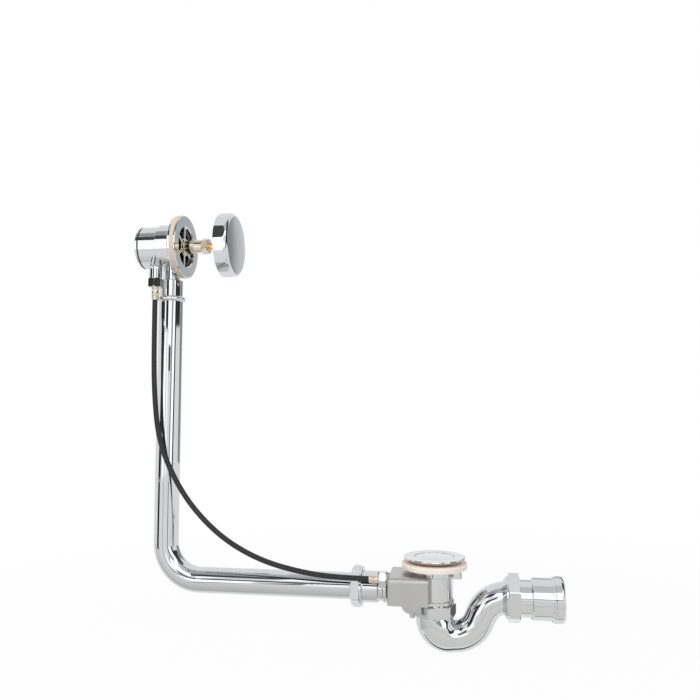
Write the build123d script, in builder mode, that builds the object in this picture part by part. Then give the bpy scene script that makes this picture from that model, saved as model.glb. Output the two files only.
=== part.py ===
"""Exposed bath waste and overflow: a cable-worked plug, an overflow head with its pipe, and a P trap.

Millimetres. The origin is on the waste's axis where its flange seats on the bath floor, +Z is up,
+X runs from the overflow to the trap's outlet and -Y is the side that the cable lies on.
"""

import os
from math import asin, atan, cos, degrees, pi, radians, sin, tan

from build123d import *

os.makedirs("parts", exist_ok=True)

# Layout
PIPE_RUN = 344.7  # waste axis to the upright pipe's axis
OVERFLOW_HEIGHT = 395.0  # bath floor to the overflow's axis
PIPE_DROP = 37.2  # bath floor down to the level pipe's axis
OUTLET_DROP = 44.0  # bath floor down to the trap outlet's axis

# Fits
RUNNING_GAP = 0.05  # radial, turning and sliding pairs
THREAD_GAP = 0.05  # radial, screwed pairs drawn without their fine threads
PUSH_GAP = 0.1  # radial, pieces pushed over or into each other
FREE_GAP = 0.3  # moving pieces that only touch in use
EDGE = 0.6  # broken edges of turned pieces

# Overflow pipe
PIPE_DIA = 32.0
PIPE_WALL = 1.5
PIPE_BEND = 47.0  # on the centre line
PIPE_TOP_DROP = 66.5  # overflow axis down to the pipe's upper end
BEAD_DIA = 38.0
BEAD_WIDTH = 7.0

# Overflow head, along its own axis
WALL_FORWARD = 18.7  # upright pipe's axis to the bath wall
WALL_WASHER_THICK = 6.0
WALL_WASHER_DIA = 83.0
WALL_WASHER_BORE = 58.0
HEAD_FLANGE_DIA = 82.0
HEAD_FLANGE_THICK = 3.5
FRONT_DRUM_DIA = 60.0
FRONT_DRUM_LENGTH = 21.5
FRONT_WALL = 3.0
REAR_DRUM_DIA = 55.6
REAR_DRUM_LENGTH = 24.0
REAR_WALL = 1.8
CAP_SEAL_THICK = 1.4
CAP_SEAL_INSET = 0.9
CAP_THICK = 3.4
CAP_SPIGOT = 4.0
CAP_WALL = 2.0
NECK_DIA = 22.0
NECK_BORE = 18.0
STUB_DIA = 31.0
STUB_DROP = 45.0  # overflow axis down to the pipe stub's shoulder
INSERT_LENGTH = 22.0
PIPE_SEAL_WIDTH = 3.2
PIPE_SEAL_DEEP = 1.6
PIPE_SEAL_DROP = 10.0  # stub's end to the seal

# Overflow grid and spindle sleeve
GRID_DIA = 82.4
GRID_THICK = 1.8
GRID_DISH = 2.7
GRID_DISH_DIA = 56.0
GRID_FLOOR_DIA = 50.0
SLOT_OUTER_DIA = 52.4
SLOT_INNER_DIA = 24.0
SLOT_COUNT = 6
SPOKE_WIDTH = 4.6
SPINDLE_DIA = 10.0
SLEEVE_THREAD_DIA = 14.0
SLEEVE_COLLAR_DIA = 22.0
SLEEVE_COLLAR_THICK = 2.4
SLEEVE_DIA = 17.8
SLEEVE_LENGTH = 23.5
SLEEVE_FLATS = 19.0
SLEEVE_HEX_LENGTH = 8.5
SLEEVE_TURN = 30.0
SPIDER_DIA = 21.0
SPIDER_LENGTH = 11.0
SPIDER_FLOOR = 3.0
SPIDER_ARM_WIDTH = 6.0
SPIDER_ARM_THICK = 6.0
SPIDER_ARMS = 3

# Knob
KNOB_GAP = 18.8  # sleeve to the knob's back edge
KNOB_DIA = 84.0
KNOB_RIM_DEPTH = 19.2
KNOB_DOME = 1.6
KNOB_EDGE = 7.0
KNOB_SIDES = 16
KNOB_FACET_TURN = -2.0
KNOB_WALL = 3.2
KNOB_HUB_DIA = 20.0
KNOB_HUB_RECESS = 1.5
SPINDLE_SEAT = 12.0  # depth of the spindle in the knob's hub
GRUB_DIA = 4.0
GRUB_LENGTH = 4.6

# Crank and upper cable end
CABLE_BACK = 12.8  # upright pipe's axis to the cable's axis
CABLE_FRONT = 21.5  # overflow axis to the cable's axis, across
KNOB_TURN = 45.0
CRANK_THICK = 7.0
CRANK_HUB_DIA = 15.0
CRANK_ARM_WIDTH = 11.0
CRANK_TIP_CLEAR = 1.2  # crank's tip to the drum's bore
CRANK_SIDE_GAP = 2.0  # crank to the spider
SPINDLE_TANG_DIA = 7.0
CRANK_SCREW_DIA = 3.6
CRANK_SCREW_HEAD_DIA = 9.0
CRANK_SCREW_HEAD = 3.0
CRANK_SCREW_LENGTH = 9.0
WIRE_DIA = 2.4
WIRE_SLIT = 3.2
NIPPLE_DIA = 4.0
NIPPLE_SLOT = 4.8
NIPPLE_OVERHANG = 0.5
WIRE_TAIL = 36.0  # length of the wire's hidden end past its nipple's reach
BOSS_DIA = 17.0
BOSS_THREAD_DIA = 14.0
BOSS_DROP = 45.0  # overflow axis down to the boss's lower shoulder
BOSS_DOME = 12.0  # shoulder up to the dome's centre
BOSS_ARM_DIA = 15.6
BOSS_ARM_LEAN = 7.0
WIRE_HOLE_DIA = 4.4
UPPER_NUT_FLATS = 17.0
UPPER_NUT_TURN = 40.0
LOWER_NUT_FLATS = 18.5
LOWER_NUT_TURN = -1.0
UPPER_NUT_LENGTH = 12.0
NUT_LIP = 2.0
FERRULE_DIA = 9.4
FERRULE_COLLAR_DIA = 11.6
FERRULE_COLLAR = 1.6
FERRULE_BORE = 3.4
FERRULE_FLOOR = 2.0
UPPER_FERRULE_SHOW = 16.5
LOWER_FERRULE_SHOW = 13.0

# Lever housing and lower cable end
HOUSING_LEFT = 54.0  # waste axis to the left wall
HOUSING_RIGHT = 6.0
HOUSING_FRONT = 36.0
HOUSING_REAR = 24.0
HOUSING_TOP = 17.3  # below the bath floor
HOUSING_BOTTOM = 50.0
HOUSING_WALL = 2.4
HOUSING_ROUND = 2.5
HOUSING_BROW = 6.5  # round of the top's front edge
PIVOT_BACK = 27.0  # waste axis to the lever's pin
PIVOT_DROP = 47.5
LOBE_DIA = 20.8
LOBE_BORE = 14.4
LOW_CABLE_FRONT = 25.0
LOW_CABLE_DROP = 22.2
LOW_BOSS_DIA = 12.0
LOW_BOSS_LENGTH = 6.2
LOW_NUT_STANDOFF = 1.5
LEVER_PIN_DIA = 5.0
LEVER_HUB_DIA = 10.0
LEVER_TIP_REACH = 21.0
LEVER_TIP_DIA = 6.4
LEVER_ARM_THICK = 7.0
LEVER_FORK_TINE = 2.9
LEVER_FORK_WIDTH = 9.0
LEVER_FORK_PAST = 1.2  # tine's end past the wire, with the lever upright
LEVER_HUB_REAR = 6.0
STOP_FLATS = 6.0
STOP_HEAD = 9.0
STOP_BACK = 25.8
STOP_FRONT = 20.0
STOP_SHANK_DIA = 4.4
STOP_SHANK = 2.4

# Pipe union and inlet connector
CONNECTOR_DIA = 37.6
CONNECTOR_NECK_DIA = 23.0
CONNECTOR_NECK_BORE = 19.0
GASKET_THICK = 2.6
GASKET_DIA = 33.0
CONNECTOR_RING = 5.4
CONNECTOR_GROOVE = 5.0
CONNECTOR_GROOVE_DIA = 32.6
CONNECTOR_SLEEVE = 28.0
CONNECTOR_SHOULDER = 4.5  # socket floor to the sleeve's inner end
UNION_FLATS = 44.0
UNION_TURN = 26.0
UNION_HEX_LENGTH = 10.5
UNION_RING_DIA = 47.6
UNION_RING_LENGTH = 3.6
UNION_LIP = 2.4
UNION_SEAL_THICK = 2.6
SLIP_RING_THICK = 0.8

# Waste body, flange and washers
FLANGE_DIA = 75.0
FLANGE_RISE = 2.0  # rim above the bath floor
FLANGE_DISH = 0.5
FLANGE_HUB_DIA = 53.0
FLANGE_HUB_DEPTH = 3.0
FLANGE_THREAD_DIA = 43.8
FLANGE_BORE = 37.0
FLANGE_LENGTH = 18.0
FLANGE_SEAL_DIA = 66.0
FLANGE_SEAL_THICK = 2.5
WASHER_DIA = 78.6
WASHER_THICK = 7.0
COLLAR_DROP = 11.8  # bath floor to the collar that the washer lies on
COLLAR_DIA = 51.0
COLLAR_DEPTH = 8.2
BODY_NECK_DIA = 48.8
TAIL_DIA = 45.0
TAIL_BORE = 38.0
TAIL_BEAD_DIA = 47.2
TAIL_BEAD_TOP = 48.0
TAIL_BEAD_DEPTH = 4.5
TAIL_THREAD_DIA = 42.0
TAIL_THREAD_LENGTH = 8.5
LUG_REACH = 33.0
LUG_WIDTH = 17.0
LUG_DEPTH = 11.2
WINDOW_WIDTH = 16.0
WINDOW_TOP = 38.0
WINDOW_BOTTOM = 57.0
GUIDE_DIA = 11.0
GUIDE_TOP = 12.0
GUIDE_BOTTOM = 24.0
GUIDE_ARM_WIDTH = 4.0
GUIDE_ARM_DEPTH = 5.0
GUIDE_ARMS = 3

# Plug
PLUG_DIA = 48.0
PLUG_RECESS_GAP = 0.4
PLUG_SINK = 0.8  # plug's edge below the flange's rim
PLUG_THICK = 2.0
PLUG_CROWN = 0.7
PLUG_HUB_DIA = 12.0
PLUG_HUB_DEPTH = 6.5
PLUG_SEAL_THICK = 1.6
PLUG_SEAL_WIDTH = 2.6
STEM_DIA = 6.0
STEM_SEAT = 5.0
FOOT_DIA = 14.0
FOOT_THICK = 4.0

# Trap
TRAP_DIA = 37.0
TRAP_NECK_DIA = 38.0
TRAP_BOWL_DIA = 46.0
TRAP_BOWL_SWELL = 5.0  # added half way round the bowl
BOWL_STEPS = 4
TRAP_WALL = 2.0
TRAP_BEND = 23.2
TRAP_SWEEP_BEND = 31.5
TRAP_RISE_BEND = 33.5
TRAP_RISE = 86.2  # waste axis to where the tube runs level
TRAP_FLANGE_THICK = 1.5
TRAP_WASHER_THICK = 2.0
TRAP_NUT_FLATS = 46.0
TRAP_NUT_TURN = 15.9
TRAP_NUT_LENGTH = 14.2
TRAP_NUT_LIP = 3.3
NUT_CHAMFER = 1.4

# Trap outlet
FLARE_DIA = 49.0
FLARE_LENGTH = 6.8
FLARE_STAND = 0.2  # where the tube runs level to the flare's face
OUTLET_THREAD_DIA = 46.4
OUTLET_THREAD_LENGTH = 8.5
OUTLET_WASHER_THICK = 2.0
OUTLET_FLANGE_THICK = 1.8
OUTLET_NUT_FLATS = 52.0
OUTLET_NUT_TURN = -25.0
OUTLET_NUT_LENGTH = 14.2
NECK_TUBE_DIA = 42.4
NECK_TUBE_BORE = 37.6
NECK_TUBE_LENGTH = 15.2
SOCKET_DIA = 48.4
SOCKET_LENGTH = 31.5
WASTE_PIPE_BORE = 43.2
SOCKET_FLOOR = 6.0
RING_DIA = 53.6
RING_WAIST_DIA = 51.4
RING_LENGTH = 14.0
RING_OVERLAP = 8.0
RING_BEAD = 3.0
RING_LIP = 4.2
OUTLET_SEAL_THICK = 3.0

# Cable: points that the sheath is led past between its two straight ends
CABLE_DIA = 6.6
CABLE_TOP_RUN = 59.5
CABLE_LOW_RUN = 38.2
CABLE_POINTS = [
    (-355.6, -22.2, 202.0),
    (-348.2, -23.0, 142.5),
    (-328.5, -23.8, 97.5),
    (-300.8, -24.3, 56.8),
    (-260.6, -24.7, 20.0),
    (-212.4, -24.9, -4.9),
    (-160.0, -25.0, -17.6),
]
ARC_SHARE = 0.45

# Places worked out from the sizes above
PIPE_X = -PIPE_RUN
PIPE_Z = -PIPE_DROP
OUTLET_Z = -OUTLET_DROP
OVERFLOW_AXIS = Axis((0, 0, OVERFLOW_HEIGHT), (1, 0, 0))
PIPE_AXIS = Axis((0, 0, PIPE_Z), (1, 0, 0))
UPRIGHT_AXIS = Axis((PIPE_X, 0, 0), (0, 0, 1))
OUTLET_AXIS = Axis((0, 0, OUTLET_Z), (1, 0, 0))
PIPE_BORE = PIPE_DIA - 2 * PIPE_WALL
PIPE_TOP = OVERFLOW_HEIGHT - PIPE_TOP_DROP
STUB_TOP = OVERFLOW_HEIGHT - STUB_DROP
BOSS_END = OVERFLOW_HEIGHT - BOSS_DROP
FRONT_BORE = FRONT_DRUM_DIA - 2 * FRONT_WALL
REAR_BORE = REAR_DRUM_DIA - 2 * REAR_WALL

WALL_X = PIPE_X + WALL_FORWARD
HEAD_FRONT = WALL_X - WALL_WASHER_THICK
HEAD_FLANGE_BACK = HEAD_FRONT - HEAD_FLANGE_THICK
STEP_X = HEAD_FLANGE_BACK - FRONT_DRUM_LENGTH
DRUM_BACK = STEP_X - REAR_DRUM_LENGTH
CAP_FRONT = DRUM_BACK - CAP_SEAL_THICK
CAP_BACK = CAP_FRONT - CAP_THICK

UP_X = PIPE_X - CABLE_BACK
UP_Y = -CABLE_FRONT
HALF_TURN = KNOB_TURN / 2
WIRE_TRAVEL = 2 * CABLE_FRONT * tan(radians(HALF_TURN))
UP_NIPPLE_Z = OVERFLOW_HEIGHT - WIRE_TRAVEL / 2
CRANK_BACK = UP_X - CRANK_THICK / 2
CRANK_FRONT = UP_X + CRANK_THICK / 2
SPIDER_BACK = CRANK_FRONT + CRANK_SIDE_GAP
SPIDER_FRONT = SPIDER_BACK + SPIDER_LENGTH
SLEEVE_BACK = SPIDER_BACK + SPIDER_FLOOR
GRID_HUB_FRONT = WALL_X - GRID_DISH + GRID_THICK
SLEEVE_TUBE_BACK = GRID_HUB_FRONT + SLEEVE_COLLAR_THICK
SLEEVE_HEX_BACK = SLEEVE_TUBE_BACK + SLEEVE_LENGTH
SLEEVE_FRONT = SLEEVE_HEX_BACK + SLEEVE_HEX_LENGTH
KNOB_BACK = SLEEVE_FRONT + KNOB_GAP
KNOB_RIM_FRONT = KNOB_BACK + KNOB_RIM_DEPTH
KNOB_FRONT = KNOB_RIM_FRONT + KNOB_DOME
KNOB_HUB_BACK = KNOB_BACK + KNOB_HUB_RECESS
SPINDLE_FRONT = KNOB_HUB_BACK + SPINDLE_SEAT

UP_NUT_BOTTOM = BOSS_END - UPPER_NUT_LENGTH
UP_COLLAR_BOTTOM = UP_NUT_BOTTOM + NUT_LIP
UP_THREAD_END = UP_COLLAR_BOTTOM + FERRULE_COLLAR
UP_EXIT_Z = UP_NUT_BOTTOM - UPPER_FERRULE_SHOW

HOUSING_X = -HOUSING_LEFT
PIVOT_X = -PIVOT_BACK
PIVOT_Z = -PIVOT_DROP
LOW_Y = -LOW_CABLE_FRONT
LOW_Z = -LOW_CABLE_DROP
LEVER_ARM = LOW_Z - PIVOT_Z
LEVER_HALF = degrees(atan(WIRE_TRAVEL / 2 / LEVER_ARM))
LOW_NIPPLE_X = PIVOT_X + WIRE_TRAVEL / 2
LOW_THREAD_END = HOUSING_X - LOW_BOSS_LENGTH
LOW_COLLAR_LEFT = LOW_THREAD_END - FERRULE_COLLAR
LOW_NUT_LEFT = LOW_COLLAR_LEFT - NUT_LIP
LOW_NUT_RIGHT = HOUSING_X - LOW_NUT_STANDOFF
LOW_EXIT_X = LOW_NUT_LEFT - LOWER_FERRULE_SHOW

GASKET_LEFT = HOUSING_X - GASKET_THICK
RING_LEFT = GASKET_LEFT - CONNECTOR_RING
GROOVE_LEFT = RING_LEFT - CONNECTOR_GROOVE
CONNECTOR_LEFT = GROOVE_LEFT - CONNECTOR_SLEEVE
PIPE_END = GROOVE_LEFT - CONNECTOR_SHOULDER
UNION_SEAL_LEFT = CONNECTOR_LEFT - UNION_SEAL_THICK
SLIP_RING_LEFT = UNION_SEAL_LEFT - SLIP_RING_THICK
UNION_LEFT = SLIP_RING_LEFT - UNION_LIP
UNION_RING_LEFT = UNION_LEFT + UNION_HEX_LENGTH
UNION_RIGHT = UNION_RING_LEFT + UNION_RING_LENGTH

COLLAR_TOP = -COLLAR_DROP
COLLAR_BOTTOM = COLLAR_TOP - COLLAR_DEPTH
TAIL_BEAD_BOTTOM = -TAIL_BEAD_TOP - TAIL_BEAD_DEPTH
TAIL_END = TAIL_BEAD_BOTTOM - TAIL_THREAD_LENGTH
PLUG_TOP = FLANGE_RISE - PLUG_SINK
PLUG_BOTTOM = PLUG_TOP - PLUG_THICK
PLUG_SEAT = PLUG_BOTTOM - PLUG_SEAL_THICK
PLUG_HUB_BOTTOM = PLUG_BOTTOM - PLUG_HUB_DEPTH
RECESS_DIA = PLUG_DIA + 2 * PLUG_RECESS_GAP
PLUG_SEAL_DIA = FLANGE_BORE + 2 * PLUG_SEAL_WIDTH
LEVER_TIP_TOP = PIVOT_Z - LEVER_TIP_REACH * sin(radians(LEVER_HALF)) + LEVER_TIP_DIA / 2
FOOT_BOTTOM = LEVER_TIP_TOP + FREE_GAP

TRAP_WASHER_BOTTOM = TAIL_END - TRAP_WASHER_THICK
TRAP_FLANGE_BOTTOM = TRAP_WASHER_BOTTOM - TRAP_FLANGE_THICK
TRAP_NUT_BOTTOM = TRAP_FLANGE_BOTTOM - TRAP_NUT_LIP
TRAP_NUT_TOP = TRAP_NUT_BOTTOM + TRAP_NUT_LENGTH

FLARE_FACE = TRAP_RISE + FLARE_STAND
OUTLET_THREAD_END = FLARE_FACE + OUTLET_THREAD_LENGTH
OUTLET_WASHER_END = OUTLET_THREAD_END + OUTLET_WASHER_THICK
OUTLET_FLANGE_END = OUTLET_WASHER_END + OUTLET_FLANGE_THICK
OUTLET_NUT_END = FLARE_FACE + OUTLET_NUT_LENGTH
SOCKET_BACK = OUTLET_FLANGE_END + NECK_TUBE_LENGTH
SOCKET_END = SOCKET_BACK + SOCKET_LENGTH
RING_BACK = SOCKET_END - RING_OVERLAP
RING_END = RING_BACK + RING_LENGTH
OUTLET_SEAL_END = SOCKET_END + OUTLET_SEAL_THICK


def section(*points):
    """Close (x, z) points into a face on the XZ plane."""
    with BuildSketch(Plane.XZ) as outline:
        with BuildLine():
            Polyline(*points, close=True)
        make_face()
    return outline.sketch


def turned(height, *stations):
    """Half the section of a piece turned about a line along X, from (x, radius) stations."""
    return section(*[(x, height + radius) for x, radius in stations])


def facing_x(x, y, z):
    """A plane that faces +X, with its own axes along +Y and +Z."""
    return Plane(origin=(x, y, z), x_dir=(0, 1, 0), z_dir=(1, 0, 0))


def facing_front(y):
    """A plane that faces -Y, drawn on in (x, z)."""
    return Plane(origin=(0, y, 0), x_dir=(1, 0, 0), z_dir=(0, -1, 0))


def hexagon_bar(plane, flats, length, turn):
    """Add a hexagonal bar that starts on a plane."""
    with BuildSketch(plane) as outline:
        RegularPolygon(radius=flats / 2, side_count=6, major_radius=False, rotation=turn)
    extrude(outline.sketch, amount=length)


def corner_radius(flats):
    """Radius of a hexagon's broken corners."""
    return flats / 2 / cos(radians(30)) - EDGE / 2


def tube_ring(height, left, right, bore, outside):
    """Section of a plain ring about a line along X."""
    return turned(height, (left, bore / 2), (right, bore / 2), (right, outside / 2), (left, outside / 2))


def upright_ring(x, bottom, top, bore, outside):
    """Section of a plain ring about an upright line at an x."""
    inner, outer = x + bore / 2, x + outside / 2
    return section((inner, bottom), (outer, bottom), (outer, top), (inner, top))


# Overflow head's body: drum, wall flange, pipe stub and cable boss in one casting
with BuildPart() as overflow_body:
    revolve(
        turned(
            OVERFLOW_HEIGHT,
            (DRUM_BACK, 0),
            (DRUM_BACK, REAR_DRUM_DIA / 2 - EDGE),
            (DRUM_BACK + EDGE, REAR_DRUM_DIA / 2),
            (STEP_X, REAR_DRUM_DIA / 2),
            (STEP_X, FRONT_DRUM_DIA / 2 - EDGE),
            (STEP_X + EDGE, FRONT_DRUM_DIA / 2),
            (HEAD_FLANGE_BACK - 2 * EDGE, FRONT_DRUM_DIA / 2),
            (HEAD_FLANGE_BACK, FRONT_DRUM_DIA / 2 + 2 * EDGE),
            (HEAD_FLANGE_BACK, HEAD_FLANGE_DIA / 2 - 2 * EDGE),
            (HEAD_FLANGE_BACK + 2 * EDGE, HEAD_FLANGE_DIA / 2),
            (HEAD_FRONT, HEAD_FLANGE_DIA / 2),
            (HEAD_FRONT, 0),
        ),
        axis=OVERFLOW_AXIS,
    )
    with BuildSketch(Plane.XY.offset(STUB_TOP)) as neck:
        with Locations((PIPE_X, 0)):
            Circle(NECK_DIA / 2)
    extrude(neck.sketch, amount=OVERFLOW_HEIGHT - STUB_TOP)
    revolve(
        section(
            (PIPE_X, STUB_TOP),
            (PIPE_X + STUB_DIA / 2 - 2 * EDGE, STUB_TOP),
            (PIPE_X + STUB_DIA / 2, STUB_TOP - 2 * EDGE),
            (PIPE_X + STUB_DIA / 2, PIPE_TOP),
            (PIPE_X + PIPE_BORE / 2 - PUSH_GAP, PIPE_TOP),
            (PIPE_X + PIPE_BORE / 2 - PUSH_GAP, PIPE_TOP - INSERT_LENGTH),
            (PIPE_X, PIPE_TOP - INSERT_LENGTH),
        ),
        axis=UPRIGHT_AXIS,
    )
    with BuildSketch(Plane.XY.offset(BOSS_END)) as boss:
        with Locations((UP_X, UP_Y)):
            Circle(BOSS_DIA / 2)
    extrude(boss.sketch, amount=BOSS_DOME)
    with Locations((UP_X, UP_Y, BOSS_END + BOSS_DOME)):
        Sphere(BOSS_DIA / 2)
    with BuildSketch(
        Plane(
            origin=(UP_X, UP_Y, BOSS_END + BOSS_DOME),
            x_dir=(1, 0, 0),
            z_dir=(0, BOSS_ARM_LEAN, OVERFLOW_HEIGHT - REAR_BORE / 4 - BOSS_END - BOSS_DOME),
        )
    ) as boss_arm:
        Circle(BOSS_ARM_DIA / 2)
    extrude(boss_arm.sketch, amount=OVERFLOW_HEIGHT - REAR_BORE / 4 - BOSS_END - BOSS_DOME)
    with BuildSketch(Plane.XY.offset(UP_THREAD_END)) as boss_thread:
        with Locations((UP_X, UP_Y)):
            Circle(BOSS_THREAD_DIA / 2)
    extrude(boss_thread.sketch, amount=BOSS_END - UP_THREAD_END)
    revolve(
        turned(
            OVERFLOW_HEIGHT,
            (DRUM_BACK, 0),
            (DRUM_BACK, REAR_BORE / 2),
            (SPIDER_BACK, REAR_BORE / 2),
            (SPIDER_BACK, FRONT_BORE / 2),
            (HEAD_FRONT, FRONT_BORE / 2),
            (HEAD_FRONT, 0),
        ),
        axis=OVERFLOW_AXIS,
        mode=Mode.SUBTRACT,
    )
    with BuildSketch(Plane.XY.offset(PIPE_TOP - INSERT_LENGTH)) as waterway:
        with Locations((PIPE_X, 0)):
            Circle(NECK_BORE / 2)
    extrude(
        waterway.sketch,
        amount=OVERFLOW_HEIGHT - FRONT_DRUM_DIA / 4 - PIPE_TOP + INSERT_LENGTH - SPIDER_DIA / 2,
        mode=Mode.SUBTRACT,
    )
    with BuildSketch(facing_x(SPIDER_BACK, 0, OVERFLOW_HEIGHT)) as spider_hub:
        Circle(SPIDER_DIA / 2)
    extrude(spider_hub.sketch, amount=SPIDER_LENGTH)
    with BuildSketch(facing_x(SPIDER_BACK, 0, OVERFLOW_HEIGHT)) as spider_arms:
        with PolarLocations(0, SPIDER_ARMS, start_angle=90):
            Rectangle(
                FRONT_DRUM_DIA / 2 - EDGE,
                SPIDER_ARM_WIDTH,
                align=(Align.MIN, Align.CENTER),
            )
    extrude(spider_arms.sketch, amount=SPIDER_ARM_THICK)
    revolve(
        turned(
            OVERFLOW_HEIGHT,
            (SPIDER_BACK, 0),
            (SPIDER_BACK, SPINDLE_DIA / 2 + FREE_GAP),
            (SLEEVE_BACK, SPINDLE_DIA / 2 + FREE_GAP),
            (SLEEVE_BACK, SLEEVE_THREAD_DIA / 2 + THREAD_GAP),
            (SPIDER_FRONT, SLEEVE_THREAD_DIA / 2 + THREAD_GAP),
            (SPIDER_FRONT, 0),
        ),
        axis=OVERFLOW_AXIS,
        mode=Mode.SUBTRACT,
    )
    with BuildSketch(Plane.XY.offset(UP_THREAD_END)) as wire_hole:
        with Locations((UP_X, UP_Y)):
            Circle(WIRE_HOLE_DIA / 2)
    extrude(wire_hole.sketch, amount=OVERFLOW_HEIGHT - UP_THREAD_END, mode=Mode.SUBTRACT)
    nipple_back = CRANK_BACK - NIPPLE_OVERHANG - RUNNING_GAP
    with BuildSketch(facing_x(nipple_back, UP_Y, OVERFLOW_HEIGHT)) as nipple_room:
        Rectangle(NIPPLE_DIA + 2 * RUNNING_GAP, WIRE_TRAVEL + NIPPLE_DIA + 2 * RUNNING_GAP)
    extrude(
        nipple_room.sketch,
        amount=CRANK_THICK + 2 * (NIPPLE_OVERHANG + RUNNING_GAP),
        mode=Mode.SUBTRACT,
    )
    revolve(
        upright_ring(
            PIPE_X,
            PIPE_TOP - PIPE_SEAL_DROP - PIPE_SEAL_WIDTH,
            PIPE_TOP - PIPE_SEAL_DROP,
            PIPE_BORE - 2 * PIPE_SEAL_DEEP,
            PIPE_BORE,
        ),
        axis=UPRIGHT_AXIS,
        mode=Mode.SUBTRACT,
    )

overflow_body.part.label = "overflow_body"
export_step(overflow_body.part, "parts/overflow_body.step")

with BuildPart() as overflow_rear_cap:
    revolve(
        turned(
            OVERFLOW_HEIGHT,
            (CAP_BACK, 0),
            (CAP_BACK, REAR_DRUM_DIA / 2 - 2 * EDGE),
            (CAP_BACK + 2 * EDGE, REAR_DRUM_DIA / 2),
            (CAP_FRONT, REAR_DRUM_DIA / 2),
            (CAP_FRONT, REAR_BORE / 2 - PUSH_GAP),
            (DRUM_BACK + CAP_SPIGOT, REAR_BORE / 2 - PUSH_GAP),
            (DRUM_BACK + CAP_SPIGOT, REAR_BORE / 2 - PUSH_GAP - CAP_WALL),
            (CAP_FRONT, REAR_BORE / 2 - PUSH_GAP - CAP_WALL),
            (CAP_FRONT, 0),
        ),
        axis=OVERFLOW_AXIS,
    )

overflow_rear_cap.part.label = "overflow_rear_cap"
export_step(overflow_rear_cap.part, "parts/overflow_rear_cap.step")

with BuildPart() as rear_cap_seal:
    revolve(
        tube_ring(OVERFLOW_HEIGHT, CAP_FRONT, DRUM_BACK, REAR_BORE, REAR_DRUM_DIA - 2 * CAP_SEAL_INSET),
        axis=OVERFLOW_AXIS,
    )

rear_cap_seal.part.label = "rear_cap_seal"
export_step(rear_cap_seal.part, "parts/rear_cap_seal.step")

with BuildPart() as overflow_washer:
    revolve(
        tube_ring(OVERFLOW_HEIGHT, HEAD_FRONT, WALL_X, WALL_WASHER_BORE, WALL_WASHER_DIA),
        axis=OVERFLOW_AXIS,
    )
    fillet(overflow_washer.edges().filter_by(GeomType.CIRCLE).group_by(SortBy.LENGTH)[-1], 2 * EDGE)

overflow_washer.part.label = "overflow_washer"
export_step(overflow_washer.part, "parts/overflow_washer.step")

# Overflow grid: a flat rim, a dished floor with slots between spokes, and a bored hub
with BuildPart() as overflow_grid:
    revolve(
        turned(
            OVERFLOW_HEIGHT,
            (WALL_X - GRID_DISH, SLEEVE_THREAD_DIA / 2 + PUSH_GAP),
            (WALL_X - GRID_DISH, GRID_FLOOR_DIA / 2),
            (WALL_X, GRID_DISH_DIA / 2),
            (WALL_X, GRID_DIA / 2),
            (WALL_X + GRID_THICK - EDGE, GRID_DIA / 2),
            (WALL_X + GRID_THICK, GRID_DIA / 2 - EDGE),
            (WALL_X + GRID_THICK, GRID_DISH_DIA / 2 - EDGE),
            (GRID_HUB_FRONT, GRID_FLOOR_DIA / 2 - EDGE),
            (GRID_HUB_FRONT, SLEEVE_THREAD_DIA / 2 + PUSH_GAP),
        ),
        axis=OVERFLOW_AXIS,
    )
    with BuildSketch(facing_x(WALL_X - GRID_DISH, 0, OVERFLOW_HEIGHT)) as slots:
        Circle(SLOT_OUTER_DIA / 2)
        Circle(SLOT_INNER_DIA / 2, mode=Mode.SUBTRACT)
        with PolarLocations(0, SLOT_COUNT, start_angle=180 / SLOT_COUNT):
            Rectangle(
                SLOT_OUTER_DIA,
                SPOKE_WIDTH,
                align=(Align.MIN, Align.CENTER),
                mode=Mode.SUBTRACT,
            )
        fillet(slots.vertices(), SPOKE_WIDTH / 3)
    extrude(slots.sketch, amount=GRID_DISH + GRID_THICK, mode=Mode.SUBTRACT)

overflow_grid.part.label = "overflow_grid"
export_step(overflow_grid.part, "parts/overflow_grid.step")

# Hollow bolt that holds the grid and carries the spindle
with BuildPart() as spindle_sleeve:
    hexagon_bar(
        facing_x(SLEEVE_HEX_BACK, 0, OVERFLOW_HEIGHT),
        SLEEVE_FLATS,
        SLEEVE_HEX_LENGTH,
        SLEEVE_TURN,
    )
    revolve(
        turned(
            OVERFLOW_HEIGHT,
            (SLEEVE_HEX_BACK, 0),
            (SLEEVE_HEX_BACK, SLEEVE_FLATS / 2),
            (SLEEVE_HEX_BACK + 2 * EDGE, corner_radius(SLEEVE_FLATS)),
            (SLEEVE_FRONT - 2 * EDGE, corner_radius(SLEEVE_FLATS)),
            (SLEEVE_FRONT, SLEEVE_FLATS / 2),
            (SLEEVE_FRONT, 0),
        ),
        axis=OVERFLOW_AXIS,
        mode=Mode.INTERSECT,
    )
    revolve(
        turned(
            OVERFLOW_HEIGHT,
            (SLEEVE_BACK, 0),
            (SLEEVE_BACK, SLEEVE_THREAD_DIA / 2),
            (GRID_HUB_FRONT, SLEEVE_THREAD_DIA / 2),
            (GRID_HUB_FRONT, SLEEVE_COLLAR_DIA / 2),
            (SLEEVE_TUBE_BACK - EDGE, SLEEVE_COLLAR_DIA / 2),
            (SLEEVE_TUBE_BACK, SLEEVE_COLLAR_DIA / 2 - EDGE),
            (SLEEVE_TUBE_BACK, SLEEVE_DIA / 2),
            (SLEEVE_HEX_BACK, SLEEVE_DIA / 2),
            (SLEEVE_HEX_BACK, 0),
        ),
        axis=OVERFLOW_AXIS,
    )
    with BuildSketch(facing_x(SLEEVE_BACK, 0, OVERFLOW_HEIGHT)) as sleeve_bore:
        Circle(SPINDLE_DIA / 2 + RUNNING_GAP)
    extrude(sleeve_bore.sketch, amount=SLEEVE_FRONT - SLEEVE_BACK, mode=Mode.SUBTRACT)

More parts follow.
